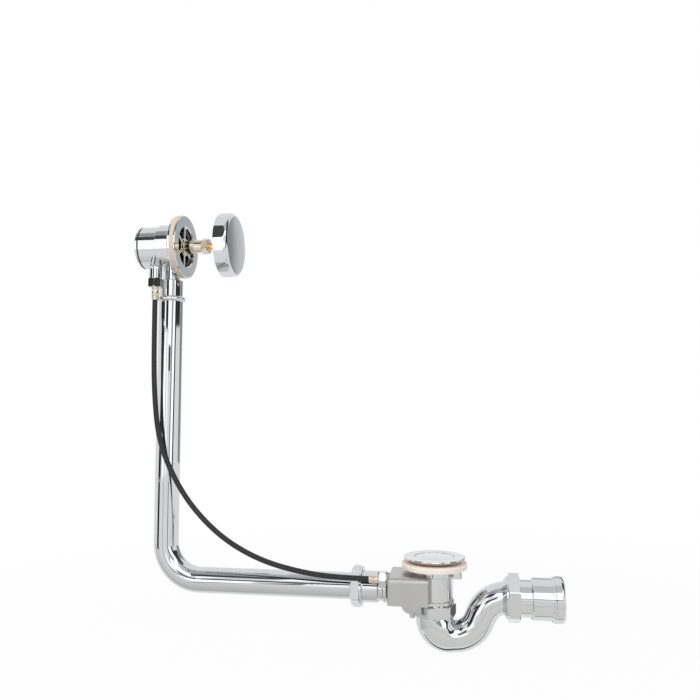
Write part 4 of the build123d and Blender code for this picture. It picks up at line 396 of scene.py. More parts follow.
class Way(Enum):
    """The way a round piece's axis runs."""

    X = (1.0, 0.0, 0.0)
    Z = (0.0, 0.0, 1.0)

    @property
    def axis(self) -> Vector:
        """Give the way as a vector."""
        return Vector(self.value)

    def off(self, place: Vector) -> float:
        """Give a place's distance from the axis that runs this way through the origin."""
        return (place - self.axis * place.dot(self.axis)).length

    def widen(self, share: float, centre: Vector | Point) -> None:
        """Scale what is selected across the way and keep its length.

        Args:
            share: The new width over the old one.
            centre: A place on the axis.
        """
        bpy.ops.transform.resize(
            value=tuple(1.0 if part else share for part in self.value), center_override=centre
        )

    def bar(
        self,
        sides: int,
        radius: float,
        middle: Vector | Point,
        length: float,
        turn_degrees: float = 0.0,
    ) -> bpy.types.Object:
        """Add a bar that runs this way.

        Args:
            sides: Corners of the bar's section.
            radius: From the axis to a corner.
            middle: The bar's middle.
            length: Along the axis.
            turn_degrees: How far it is turned about its axis.

        Returns:
            The bar, with its place and turn applied.
        """
        turn = Matrix.Rotation(math.radians(turn_degrees), 3, self.name)
        if self is Way.X:
            turn = turn @ Matrix.Rotation(math.pi / 2, 3, "Y")
        bpy.ops.object.select_all(action="DESELECT")
        bpy.ops.mesh.primitive_cylinder_add(
            vertices=sides, radius=radius, depth=length, location=middle, rotation=turn.to_euler()
        )
        bpy.ops.object.transform_apply(location=True, rotation=True, scale=True)
        return bpy.context.object


@dataclass
class Bench:
    """One mesh in hand, worked on with operators."""

    piece: bpy.types.Object

    def hold(self) -> None:
        """Select the piece alone."""
        bpy.ops.object.select_all(action="DESELECT")
        self.piece.select_set(True)
        bpy.context.view_layer.objects.active = self.piece

    def take(self) -> None:
        """Open the piece in edit mode with nothing selected."""
        self.hold()
        bpy.ops.object.mode_set(mode="EDIT")
        bpy.ops.mesh.select_all(action="DESELECT")

    def pick_faces(self, wanted: Callable[[bmesh.types.BMFace], bool]) -> None:
        """Select the faces that the test wants and no others.

        Args:
            wanted: The test of a face.
        """
        bpy.ops.mesh.select_mode(type="FACE")
        mesh = bmesh.from_edit_mesh(self.piece.data)
        for face in mesh.faces:
            face.select_set(wanted(face))
        bmesh.update_edit_mesh(self.piece.data)

    def pick_edges(self, wanted: Callable[[bmesh.types.BMEdge], bool]) -> None:
        """Select the edges that the test wants and no others.

        Args:
            wanted: The test of an edge.
        """
        bpy.ops.mesh.select_mode(type="EDGE")
        bpy.ops.mesh.select_all(action="DESELECT")
        mesh = bmesh.from_edit_mesh(self.piece.data)
        for edge in mesh.edges:
            if wanted(edge):
                edge.select_set(True)
        bmesh.update_edit_mesh(self.piece.data)

    def pick_corners(self, wanted: Callable[[Vector], bool]) -> None:
        """Select the corners at the places that the test wants and no others.

        Args:
            wanted: The test of a place.
        """
        bpy.ops.mesh.select_mode(type="VERT")
        bpy.ops.mesh.select_all(action="DESELECT")
        mesh = bmesh.from_edit_mesh(self.piece.data)
        for corner in mesh.verts:
            corner.select_set(wanted(corner.co))
        mesh.select_flush_mode()
        bmesh.update_edit_mesh(self.piece.data)

    def cut(self, place: Vector, normal: Point) -> None:
        """Cut a loop all round the piece where a plane meets it."""
        bpy.ops.mesh.select_all(action="SELECT")
        bpy.ops.mesh.bisect(plane_co=place, plane_no=normal)

    def work(self, tool: bpy.types.Object, kind: str) -> None:
        """Work the piece with a tool body and take the tool away.

        Args:
            tool: The body that cuts, bounds or joins it.
            kind: The boolean operation.
        """
        self.hold()
        step = self.piece.modifiers.new("work", "BOOLEAN")
        step.operation = kind
        step.object = tool
        bpy.ops.object.modifier_apply(modifier=step.name)
        bpy.data.objects.remove(tool)

    def put_back(self, smooth_angle: float) -> None:
        """Close the piece, with its faces outwards and shaded smooth up to the angle.

        Args:
            smooth_angle: Degrees between faces above which an edge stays sharp.
        """
        bpy.ops.mesh.select_all(action="SELECT")
        bpy.ops.mesh.remove_doubles(threshold=MERGE)
        bpy.ops.mesh.normals_make_consistent(inside=False)
        bpy.ops.object.mode_set(mode="OBJECT")
        bpy.ops.object.shade_smooth_by_angle(angle=math.radians(smooth_angle))

    def weigh_normals(self) -> None:
        """Shade flat faces flat, right up to their rounded edges."""
        step = self.piece.modifiers.new("flat faces", "WEIGHTED_NORMAL")
        step.keep_sharp = True
        bpy.ops.object.modifier_apply(modifier=step.name)

    def stand_in(self, node: str, finish: Finishes, body: Body = Body.FRAME) -> None:
        """Give the piece its finish and let it stand for its solid.

        Args:
            node: The node that it stands for.
            finish: Its finish.
            body: The body that it rides on.
        """
        self.piece.data.materials.clear()
        self.piece.data.materials.append(finish.value.material())
        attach(self.piece, body.value)
        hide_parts(node)


@dataclass(frozen=True)
class SoftRing:
    """A moulded washer or seal, with rounded lips and a swelled rim, in place of its plain solid.

    A rim step is a share of the thickness, from the ring's middle, and the share of the swell there.
    """

    node: str
    way: Way
    bore_mm: float
    lip_mm: float
    swell_mm: float
    finish: Finishes
    slot: str
    sides: int = 128
    lip_steps: int = 5
    lip_angle: float = 60.0
    smooth_angle: float = 50.0
    rim_steps: tuple[Ends, ...] = ((-0.28, 0.72), (-0.1, 0.97), (0.1, 0.97), (0.28, 0.72))

    def build(self) -> bpy.types.Object:
        """Turn a disc into a ring, swell its rim and round its lips.

        Returns:
            The ring, in place.
        """
        low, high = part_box(self.node)
        middle, reach = (low + high) / 2, high - low
        axis = self.way.axis
        thick, outer = reach.dot(axis), reach.y / 2
        swell, bore = self.swell_mm * MM, self.bore_mm * MM
        ring = self.way.bar(self.sides, outer - swell, middle, thick)
        ring.name = self.node + "_moulded"
        bench = Bench(ring)
        bench.take()
        bench.pick_faces(lambda face: abs(face.normal.dot(axis)) > FACING)
        bpy.ops.mesh.inset(thickness=outer - swell - bore, use_individual=True)
        bpy.ops.mesh.bridge_edge_loops()
        for share, grown in self.rim_steps:
            height = (middle + axis * thick * share).dot(axis)
            bench.cut(axis * height, self.way.value)
            bench.pick_corners(
                lambda place: abs(place.dot(axis) - height) < MERGE
                and self.way.off(place - middle) > (outer + bore) / 2
            )
            self.way.widen(1.0 + grown * swell / (outer - swell), middle)
        bench.pick_edges(lambda edge: edge.calc_face_angle(0.0) > math.radians(self.lip_angle))
        bpy.ops.mesh.bevel(offset=self.lip_mm * MM, segments=self.lip_steps, affect="EDGES")
        bench.put_back(self.smooth_angle)
        return ring

    def dress(self, ring: bpy.types.Object) -> None:
        """Give the ring its finish and let it stand for its solid."""
        Bench(ring).stand_in(self.node, self.finish)


@dataclass(frozen=True)
class CrimpedFerrule:
    """A cable ferrule with crimp grooves pressed into its sleeve, worked up from a copy of its solid."""

    node: str
    way: Way
    axis_mm: Point
    crimps_mm: tuple[float, ...]
    crimp_width_mm: float = 1.0
    crimp_depth: float = 0.055
    core_mm: float = 3.0
    smooth_angle: float = 38.0
    slot: str = "nickel"

    def build(self) -> bpy.types.Object:
        """Copy the solid, cut three loops at each crimp and press the middle one in.

        Returns:
            The crimped copy, in place.
        """
        Bench(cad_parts[self.node]).hold()
        bpy.ops.object.duplicate()
        copy = bpy.context.object
        copy.name = self.node + "_crimped"
        bench = Bench(copy)
        bench.take()
        bpy.ops.mesh.select_all(action="SELECT")
        bpy.ops.mesh.customdata_custom_splitnormals_clear()
        bpy.ops.mesh.remove_doubles(threshold=MERGE)
        axis, centre = self.way.axis, Vector(self.axis_mm) * MM
        for crimp in self.crimps_mm:
            for side in (-0.5, 0.0, 0.5):
                bench.cut(axis * (crimp + side * self.crimp_width_mm) * MM, self.way.value)
            bench.pick_corners(
                lambda place: abs(place.dot(axis) - crimp * MM) < MERGE
                and self.way.off(place - centre) > self.core_mm * MM
            )
            self.way.widen(1.0 - self.crimp_depth, centre)
        bench.put_back(self.smooth_angle)
        return copy

    def dress(self, copy: bpy.types.Object) -> None:
        """Give the copy its solid's finish and let it stand for the solid."""
        Bench(copy).stand_in(self.node, SLOT_FINISHES[self.slot])


@dataclass(frozen=True)
class HexNut:
    """A plated hexagon nut: turned chamfers, stepped bore and edges rounded by polishing.

    A bore is its radius and the places along the axis where it begins and ends.
    """

    node: str
    way: Way
    turn_degrees: float
    flats_mm: float
    round_mm: float
    face_mm: float
    chamfer_mm: float
    bores_mm: tuple[tuple[float, float, float], ...]
    polish_mm: float
    polish_steps: int = 3
    slot: str = "chrome"
    sides: int = 90
    merge_mm: float = 0.04
    flat_angle: float = 0.2
    edge_angle: float = 20.0
    smooth_angle: float = 35.0

    def build(self) -> bpy.types.Object:
        """Cut a hexagon bar to a turned blank, bore it and polish its edges.

        Returns:
            The nut, in place.
        """
        low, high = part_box(self.node)
        middle, axis = (low + high) / 2, self.way.axis
        length = (high - low).dot(axis)
        nut = self._bar(6, self.flats_mm / math.sqrt(3.0) * MM, middle, length)
        nut.name = self.node + "_polished"
        bench = Bench(nut)
        bench.work(self._blank(middle, length), "INTERSECT")
        for radius, start, end in self.bores_mm:
            place = middle + axis * ((start + end) / 2 * MM - middle.dot(axis))
            bench.work(self._bar(self.sides, radius * MM, place, (end - start) * MM), "DIFFERENCE")
        bench.take()
        bpy.ops.mesh.select_all(action="SELECT")
        bpy.ops.mesh.remove_doubles(threshold=self.merge_mm * MM)
        bpy.ops.mesh.dissolve_limited(angle_limit=math.radians(self.flat_angle))
        bench.pick_edges(lambda edge: edge.calc_face_angle(0.0) > math.radians(self.edge_angle))
        bpy.ops.mesh.bevel(
            offset=self.polish_mm * MM, segments=self.polish_steps, affect="EDGES", clamp_overlap=True
        )
        bench.put_back(self.smooth_angle)
        bench.weigh_normals()
        return nut

    def _bar(self, sides: int, radius: float, middle: Vector, length: float) -> bpy.types.Object:
        """Add a bar along the nut's axis, turned as the nut is."""
        return self.way.bar(sides, radius, middle, length, self.turn_degrees)

    def _blank(self, middle: Vector, length: float) -> bpy.types.Object:
        """Turn the round blank whose ends taper to the nut's faces.

        Args:
            middle: The nut's middle.
            length: Along the axis.

        Returns:
            The blank, in place.
        """
        axis, chamfer = self.way.axis, self.chamfer_mm * MM
        blank = self._bar(self.sides, self.round_mm * MM, middle, length - 2 * chamfer)
        bench = Bench(blank)
        for side in (-1.0, 1.0):
            bench.take()
            bench.pick_faces(lambda face: face.normal.dot(axis) * side > FACING)
            bpy.ops.mesh.extrude_region_move(TRANSFORM_OT_translate={"value": axis * side * chamfer})
            self.way.widen(self.face_mm / self.round_mm, middle)
            bpy.ops.object.mode_set(mode="OBJECT")
        return blank

    def dress(self, nut: bpy.types.Object) -> None:
        """Give the nut its finish and let it stand for its solid."""
        Bench(nut).stand_in(self.node, SLOT_FINISHES[self.slot])


@dataclass(frozen=True)
class CrownedKnob:
    """The hand knob: a faceted cup with a rolled shoulder, a crowned face and a hub on the spindle."""

    node: str = "knob"
    slot: str = "chrome"
    axis_mm: float = 395.0
    back_mm: float = -273.7
    radius_mm: float = 42.0
    edge_mm: float = 0.6
    rim_mm: float = 19.2
    crown_mm: float = 1.6
    shoulder_mm: float = 7.0
    facets: int = 16
    facet_turn: float = -2.0
    facet_bar_mm: float = 30.0
    wall_mm: float = 3.2
    hub_mm: float = 10.0
    hub_recess_mm: float = 1.5
    hub_sink_mm: float = 0.5
    bore_mm: float = 5.0
    bore_sides: int = 48
    seat_mm: float = 12.0
    screw_hole_mm: float = 2.0
    screw_hole_sides: int = 32
    overrun_mm: float = 1.0
    sides: int = 128
    steps: int = 8
    polish_mm: float = 0.25
    polish_steps: int = 3
    polish_angle: float = 15.0
    lengthwise: float = 0.99
    smooth_angle: float = 12.0

    def build(self) -> bpy.types.Object:
        """Cut a many-sided bar to the turned blank, hollow it, add the hub and bore it.

        Returns:
            The knob, in place.
        """
        start, end = self.back_mm - self.overrun_mm, self.back_mm + self.facet_bar_mm
        hub_back = self.back_mm + self.hub_recess_mm
        hub_front = self.back_mm + self.rim_mm - self.wall_mm + self.hub_sink_mm
        knob = self._bar(self.facets, self.radius_mm, start, end, self.facet_turn)
        knob.name = self.node + "_crowned"
        bench = Bench(knob)
        bench.work(self._turned(self._outside()), "INTERSECT")
        bench.take()
        bench.pick_edges(self._between_facets)
        bpy.ops.mesh.bevel(
            offset=self.polish_mm * MM, segments=self.polish_steps, affect="EDGES", clamp_overlap=True
        )
        bpy.ops.object.mode_set(mode="OBJECT")
        bench.work(self._turned(self._inside()), "DIFFERENCE")
        bench.work(self._bar(self.sides, self.hub_mm, hub_back, hub_front), "UNION")
        bench.work(self._spindle_bore(hub_back), "DIFFERENCE")
        bench.work(self._screw_hole(hub_back + self.seat_mm / 2), "DIFFERENCE")
        bench.take()
        bench.put_back(self.smooth_angle)
        bench.weigh_normals()
        return knob

    def _between_facets(self, edge: bmesh.types.BMEdge) -> bool:
        """Tell whether an edge runs along the axis between two facets.

        Args:
            edge: An edge of the faceted blank.

        Returns:
            Whether it is to be polished.
        """
        along = (edge.verts[0].co - edge.verts[1].co).normalized()
        sharp = edge.calc_face_angle(0.0) > math.radians(self.polish_angle)
        return sharp and abs(along.x) > self.lengthwise

    def _outside(self) -> list[Ends]:
        """Give the blank's rings, as place along the axis and radius, from the back to the crown.

        Returns:
            The edge of the back, the rolled shoulder and the crown.
        """
        face = self.radius_mm - self.shoulder_mm
        start = self.back_mm + self.rim_mm - self.shoulder_mm
        front = self.back_mm + self.rim_mm + self.crown_mm
        sphere = (face**2 + self.crown_mm**2) / (2 * self.crown_mm)
        rings = [
            (self.back_mm, self.radius_mm - self.edge_mm),
            (self.back_mm + self.edge_mm, self.radius_mm),
        ]
        for step in range(self.steps + 1):
            turn = math.pi / 2 * step / self.steps
            along, out = self.shoulder_mm * math.sin(turn), self.shoulder_mm * math.cos(turn)
            rings.append((start + along, face + out))
        for step in range(1, self.steps):
            radius = face * (1 - step / self.steps)
            rings.append((front - sphere + math.sqrt(sphere**2 - radius**2), radius))
        return rings

    def _inside(self) -> list[Ends]:
        """Give the hollow's rings, from behind the back to the inner face.

        Returns:
            The open end, the start of the taper and the inner face.
        """
        bore = self.radius_mm - self.wall_mm
        front = self.back_mm + self.rim_mm
        return [
            (self.back_mm - self.overrun_mm, bore),
            (front - self.shoulder_mm, bore),
            (front - self.wall_mm, bore - self.wall_mm),
        ]

    def _on_axis(self, place: float) -> Point:
        """Give the point of the knob's axis at a place along it."""
        return (place * MM, 0.0, self.axis_mm * MM)

    def _bar(
        self, sides: int, radius: float, start: float, end: float, turn: float = 0.0
    ) -> bpy.types.Object:
        """Add a bar along the knob's axis, with its sizes in millimetres.

        Args:
            sides: Corners of the bar's section.
            radius: From the axis to a corner.
            start: Where it begins along the axis.
            end: Where it ends along the axis.
            turn: Degrees that it is turned about the axis.

        Returns:
            The bar, with its place and turn applied.
        """
        return Way.X.bar(sides, radius * MM, self._on_axis((start + end) / 2), (end - start) * MM, turn)

    def _turned(self, rings: list[Ends]) -> bpy.types.Object:
        """Turn a body by drawing a disc out from ring to ring.

        Args:
            rings: Place along the axis and radius of each ring.

        Returns:
            The body, in place.
        """
        (start, radius), *others = rings
        here, wide = others[0][0], radius
        body = self._bar(self.sides, wide, start, here)
        bench = Bench(body)
        bench.take()
        bench.pick_faces(lambda face: face.normal.x > FACING)
        for place, radius in others:
            if place > here:
                bpy.ops.mesh.extrude_region_move(
                    TRANSFORM_OT_translate={"value": ((place - here) * MM, 0.0, 0.0)}
                )
            Way.X.widen(radius / wide, self._on_axis(place))
            here, wide = place, radius
        bpy.ops.object.mode_set(mode="OBJECT")
        return body

    def _spindle_bore(self, hub_back: float) -> bpy.types.Object:
        """Add the drill for the spindle's seat, from behind the hub."""
        end = hub_back + self.seat_mm
        return self._bar(self.bore_sides, self.bore_mm, hub_back - self.overrun_mm, end)

    def _screw_hole(self, place: float) -> bpy.types.Object:
        """Add the drill for the screw that holds the knob on its spindle, from below the rim to the axis.

        Args:
            place: Where the screw stands along the axis.

        Returns:
            The drill, in place.
        """
        length = self.radius_mm + 2 * self.overrun_mm
        middle = (place * MM, 0.0, (self.axis_mm - length / 2) * MM)
        return Way.Z.bar(self.screw_hole_sides, self.screw_hole_mm * MM, middle, length * MM)

    def dress(self, knob: bpy.types.Object) -> None:
        """Give the knob its finish and let it stand for its solid."""
        Bench(knob).stand_in(self.node, SLOT_FINISHES[self.slot], Body.KNOB)


SOFT_RINGS: tuple[SoftRing, ...] = (
    SoftRing(
        "overflow_washer",
        Way.X,
        bore_mm=29.0,
        lip_mm=0.7,
        swell_mm=0.2,
        finish=Finishes.BEIGE,
        slot="cream_rubber",
    ),
    SoftRing(
        "waste_washer",
        Way.Z,
        bore_mm=24.5,
        lip_mm=0.8,
        swell_mm=0.2,
        finish=Finishes.CREAM,
        slot="cream_rubber",
    ),
    # The thin seal under the flange, its brown partly painted shade.
    SoftRing(
        "flange_seal",
        Way.Z,
        bore_mm=26.6,
        lip_mm=0.6,
        swell_mm=0.4,
        finish=Finishes.BROWN,
        slot="brown_rubber",
    ),
    SoftRing(
        "rear_cap_seal",
        Way.X,
        bore_mm=26.0,
        lip_mm=0.25,
        swell_mm=0.1,
        finish=Finishes.BLACK,
        slot="black_rubber",
    ),
    SoftRing(
        "inlet_gasket",
        Way.X,
        bore_mm=11.6,
        lip_mm=0.5,
        swell_mm=0.3,
        finish=Finishes.BLACK,
        slot="black_rubber",
    ),
    SoftRing(
        "outlet_seal",
        Way.X,
        bore_mm=21.6,
        lip_mm=0.6,
        swell_mm=0.1,
        finish=Finishes.BLACK,
        slot="black_rubber",
    ),
)
HEX_NUTS: tuple[HexNut, ...] = (
    HexNut(
        "trap_nut",
        Way.Z,
        turn_degrees=-14.1,
        flats_mm=46.0,
        round_mm=26.25,
        face_mm=23.0,
        chamfer_mm=1.4,
        bores_mm=((19.1, -70.0, -64.5), (21.05, -64.6, -50.0)),
        polish_mm=0.35,
    ),
    HexNut(
        "outlet_nut",
        Way.X,
        turn_degrees=-25.0,
        flats_mm=52.0,
        round_mm=29.7,
        face_mm=25.8,
        chamfer_mm=1.4,
        bores_mm=((23.25, 84.0, 98.7), (21.3, 98.6, 103.0)),
        polish_mm=0.4,
    ),
    HexNut(
        "upper_cable_nut",
        Way.Z,
        turn_degrees=10.0,
        flats_mm=17.0,
        round_mm=9.5,
        face_mm=8.5,
        chamfer_mm=1.2,
        bores_mm=((4.8, 335.0, 340.0), (7.05, 339.9, 353.0)),
        polish_mm=0.2,
    ),
    HexNut(
        "lower_cable_nut",
        Way.X,
        turn_degrees=-1.0,
        flats_mm=18.5,
        round_mm=10.36,
        face_mm=9.25,
        chamfer_mm=1.2,
        bores_mm=((4.8, -66.0, -61.8), (6.05, -61.9, -53.0)),
        polish_mm=0.2,
    ),
)
FERRULES: tuple[CrimpedFerrule, ...] = (
    CrimpedFerrule("upper_ferrule", Way.Z, (-357.5, -21.5, 330.0), (324.2, 326.6, 335.2)),
    CrimpedFerrule("lower_ferrule", Way.X, (-70.0, -25.0, -22.2), (-74.2, -71.8, -66.0)),
)


def between(ends: Ends, share: float) -> float:
    """Give the value at a share of the way from one end to the other."""
    return ends[0] + share * (ends[1] - ends[0])


@dataclass(frozen=True)
class Panel(ABC):
    """A glowing panel off camera that the plating mirrors.

    The glow runs from the panel's lower or near edge to the other, or sideways from left to right.
    """

    name: str
    glow: Ends
    tint: Color = field(default=WHITE, kw_only=True)
    sideways: bool = field(default=False, kw_only=True)
    squares: tuple[int, int] = field(default=(24, 8), kw_only=True)

    @abstractmethod
    def place(self, along: float, up: float) -> Point:
        """Give the place of a point of the panel.

        Args:
            along: Its share of the way from the left edge to the right.
            up: Its share of the way from the lower or near edge to the other.

        Returns:
            The place in the scene.
        """

    def build(self) -> None:
        """Shape a grid to the panel and show it to mirrors alone."""
        bpy.ops.object.select_all(action="DESELECT")
        across, high = self.squares
        bpy.ops.mesh.primitive_grid_add(x_subdivisions=across, y_subdivisions=high, size=1.0)
        panel = bpy.context.object
        panel.name = "card_" + self.name
        panel.data.materials.append(self._skin())
        for corner in panel.data.vertices:
            corner.co = self.place(corner.co.x + 0.5, corner.co.y + 0.5)
        panel.visible_camera = False
        panel.visible_diffuse = False
        panel.visible_transmission = False
        panel.visible_shadow = False

    def _skin(self) -> bpy.types.Material:
        """Make the panel's glow, which isn't sampled as a lamp.

        Returns:
            The material, graded along the panel's own UV map.
        """
        skin = bpy.data.materials.new("card_" + self.name)
        skin.use_nodes = True
        skin.cycles.emission_sampling = "NONE"
        nodes, links = skin.node_tree.nodes, skin.node_tree.links
        place = nodes.new("ShaderNodeTexCoord")
        split = nodes.new("ShaderNodeSeparateXYZ")
        grade = nodes.new("ShaderNodeMapRange")
        give(grade, {"To Min": self.glow[0], "To Max": self.glow[1]})
        glow = nodes.new("ShaderNodeEmission")
        give(glow, {"Color": (*self.tint, 1.0)})
        links.new(place.outputs["UV"], split.inputs["Vector"])
        links.new(split.outputs["X" if self.sideways else "Y"], grade.inputs["Value"])
        links.new(grade.outputs["Result"], glow.inputs["Strength"])
        links.new(glow.outputs["Emission"], nodes["Material Output"].inputs["Surface"])
        return skin


@dataclass(frozen=True)
class Card(Panel):
    """A curved panel that stands round the object, placed by angles from its middle.

    Azimuth 0 is the front and grows to the right, elevation grows upwards. The slant shifts the upper
    edge to the right.
    """

    azimuths: Ends
    elevations: Ends
    slant: float = 0.0
    distance: float = 2.2

    def place(self, along: float, up: float) -> Point:
        """Give the place of a point of the card, at its distance from the object's middle.

        Args:
            along: Its share of the way from the left edge to the right.
            up: Its share of the way from the lower edge to the upper.

        Returns:
            The place in the scene.
        """
        turn = math.radians(between(self.azimuths, along) + up * self.slant)
        lift = math.radians(between(self.elevations, up))
        way = Vector((math.sin(turn) * math.cos(lift), -math.cos(turn) * math.cos(lift), math.sin(lift)))
        return tuple(Vector(MIDDLE) + way * self.distance)


@dataclass(frozen=True)
class FloorCard(Panel):
    """A panel of painted shade that lies on the floor, for mirrors, with its glow from near to far."""

    across: Ends
    ahead: Ends
    lift: float = FLOOR_GAP / 2

    def place(self, along: float, up: float) -> Point:
        """Give the place of a point of the card, on the floor."""
        return (between(self.across, along), -between(self.ahead, up), FLOOR_HEIGHT + self.lift)


@dataclass(frozen=True)
class FloorWedge(Panel):
    """A panel that lies on the floor and spreads from the foot of the upright pipe."""

    azimuths: Ends
    reach: Ends
    foot: Ends = (-0.3447, 0.0)
    lift: float = FLOOR_GAP * 3 / 4

    def place(self, along: float, up: float) -> Point:
        """Give the place of a point of the wedge, on the floor.

        Args:
            along: Its share of the way from the left edge to the right.
            up: Its share of the way from the near edge to the far one.

        Returns:
            The place in the scene.
        """
        turn, reach = math.radians(between(self.azimuths, along)), between(self.reach, up)
        x, y = self.foot
        return (x + reach * math.sin(turn), y - reach * math.cos(turn), FLOOR_HEIGHT + self.lift)


@dataclass(frozen=True)
class Lamp:
    """A soft square lamp aimed at the object's middle, not seen in mirrors."""

    name: str
    place: Point
    width: float
    watts: float

    def build(self) -> None:
        """Hang the lamp and aim it."""
        lamp = bpy.data.lights.new(self.name, "AREA")
        lamp.size = self.width
        lamp.energy = self.watts
        holder = bpy.data.objects.new(self.name, lamp)
        bpy.context.scene.collection.objects.link(holder)
        holder.location = self.place
        aim = Vector(MIDDLE) - Vector(self.place)
        holder.rotation_euler = aim.to_track_quat("-Z", "Y").to_euler()
        holder.visible_glossy = False


@dataclass
class Studio:
    """Floor, surround, lamps, mirrored panels and camera."""

    floor_size: float = 60.0
    floor_color: Color = (0.80, 0.80, 0.80)
    floor_roughness: float = 0.9
    floor_white: Ends = (0.95, 1.0)
    floor_fade: Ends = (0.45, 1.0)
    surround: float = 0.55
    camera_place: Point = (0.0394, -0.8923, 0.1834)
    camera_yaw: float = -9.12
    camera_pitch: float = 4.52
    camera_lens: float = 36.77
    camera_sensor: float = 36.0
    camera_clip: Ends = (0.01, 100.0)
    lamps: tuple[Lamp, ...] = (
        Lamp("lamp_left", (-1.3, -1.2, 1.5), width=1.2, watts=18.0),
        Lamp("lamp_right", (1.2, -1.3, 1.3), width=1.0, watts=12.0),
    )
    cards: tuple[Card, ...] = (
        Card("dark_left", (0.03, 0.03), (-70.0, -47.0), (-7.0, 9.0), 10.0),
        Card("light_low_left", (1.7, 1.7), (-36.0, -19.0), (-7.0, 8.5)),
        Card("grey_thin", (0.30, 0.30), (-18.5, -14.5), (-7.0, 8.5), 4.0),
        Card("light_low", (1.4, 1.4), (-13.5, 3.5), (-7.0, 8.5)),
        Card("dark_band_left", (0.03, 0.06), (-75.0, -37.0), (9.5, 18.0)),
        Card("dark_band", (0.03, 0.06), (-26.0, -4.0), (9.0, 18.0)),
        Card("light_drum", (1.8, 1.5), (-36.5, -27.0), (9.0, 33.0)),
        Card("dark_drum", (0.04, 0.13), (-48.0, -20.5), (34.0, 50.0)),
        Card("grey_drum", (0.38, 0.75), (-75.0, -20.5), (51.0, 84.0)),
        Card("low_right", (1.0, 1.0), (4.0, 23.0), (-7.0, 4.4)),
        Card("line_right", (0.10, 0.10), (4.0, 23.0), (4.5, 7.4)),
        Card("light_front", (1.9, 1.9), (-3.5, 23.0), (9.0, 27.0)),
        Card("light_front_low", (1.9, 1.9), (4.0, 23.0), (7.5, 8.9)),
        Card("grey_right", (0.22, 0.22), (24.0, 32.0), (-7.0, 24.0), 12.0),
        Card("light_right", (1.8, 1.8), (37.0, 54.5), (-7.0, 24.0), 12.0),
        Card("dark_right", (0.04, 0.04), (55.0, 68.0), (-7.0, 24.0), 12.0),
        Card("dark_nut", (0.05, 0.05), (49.3, 53.7), (13.0, 16.6), distance=2.15),
        Card("light_high", (1.8, 1.8), (-20.0, 3.0), (28.0, 46.0)),
        Card("light_high_right", (1.8, 1.8), (3.0, 75.0), (28.0, 42.0)),
        Card("grey_high", (0.62, 0.62), (-20.0, 3.0), (47.0, 67.0)),
        Card("grey_high_right", (0.76, 0.72), (3.0, 75.0), (42.5, 84.0)),
        Card("dark_top", (0.10, 0.10), (-20.0, 3.0), (68.0, 79.0)),
        Card("dark_side", (0.04, 0.14), (72.0, 122.0), (10.0, 66.0)),
        Card("grey_back_dark", (0.34, 0.34), (126.0, 156.0), (-6.0, 34.0), tint=COOL),
        Card("grey_back_grade", (0.34, 0.66), (156.0, 165.0), (-6.0, 34.0), tint=COOL, sideways=True),
        Card("grey_back", (0.66, 0.78), (165.0, 176.0), (-6.0, 34.0), tint=COOL, sideways=True),
    )
    floor_cards: tuple[FloorCard, ...] = (
        # The grey panels paint the floor's shade round the object, as mirrors see it: darkest close in
        # front, lighter further out, tinted warm. This is painted shade.
        FloorCard("floor_close", (0.64, 0.82), (-0.9, -0.06), (0.0, 0.11), tint=(1.0, 0.99, 0.965)),
        FloorCard("floor_close_right", (0.84, 0.92), (-0.06, 0.8), (0.022, 0.11), tint=(1.0, 0.99, 0.955)),
        FloorCard("floor_near", (0.82, 0.96), (-0.9, 0.8), (0.11, 0.42), tint=(1.0, 0.99, 0.965)),
        # Thin dark strips just under the front of the trap and the outlet: painted contact shadow, seen as
        # dark lines along the pipes' lower edges.
        FloorCard("floor_seam_trap", (0.12, 0.12), (-0.04, 0.082), (0.0125, 0.0165)),
        FloorCard("floor_seam_outlet", (0.12, 0.12), (0.083, 0.17), (0.0165, 0.0205)),
        # A dark patch on the floor behind the outlet: painted shadow, seen as a dark line in the lower
        # edges of the level pipes.
        FloorCard("floor_dark_back", (0.14, 0.14), (0.09, 0.21), (-0.19, -0.08)),
    )
    floor_wedges: tuple[FloorWedge, ...] = (
        FloorWedge("floor_dark_left", (0.03, 0.03), (-67.0, -47.0), (0.46, 2.0)),
        FloorWedge("floor_grey", (0.35, 0.35), (-14.0, -10.0), (0.3, 2.0)),
        FloorWedge("floor_grey_right", (0.30, 0.30), (29.0, 36.0), (0.5, 2.0)),
    )

    def floor(self) -> None:
        """Lay the pale floor just under the object."""
        bpy.ops.object.select_all(action="DESELECT")
        bpy.ops.mesh.primitive_plane_add(size=self.floor_size, location=(0.0, 0.0, FLOOR_HEIGHT))
        floor = bpy.context.object
        floor.name = "floor"
        pale = bpy.data.materials.new("pale_floor")
        pale.use_nodes = True
        pale.cycles.emission_sampling = "NONE"
        self._white_to_the_eye(pale.node_tree)
        floor.data.materials.append(pale)

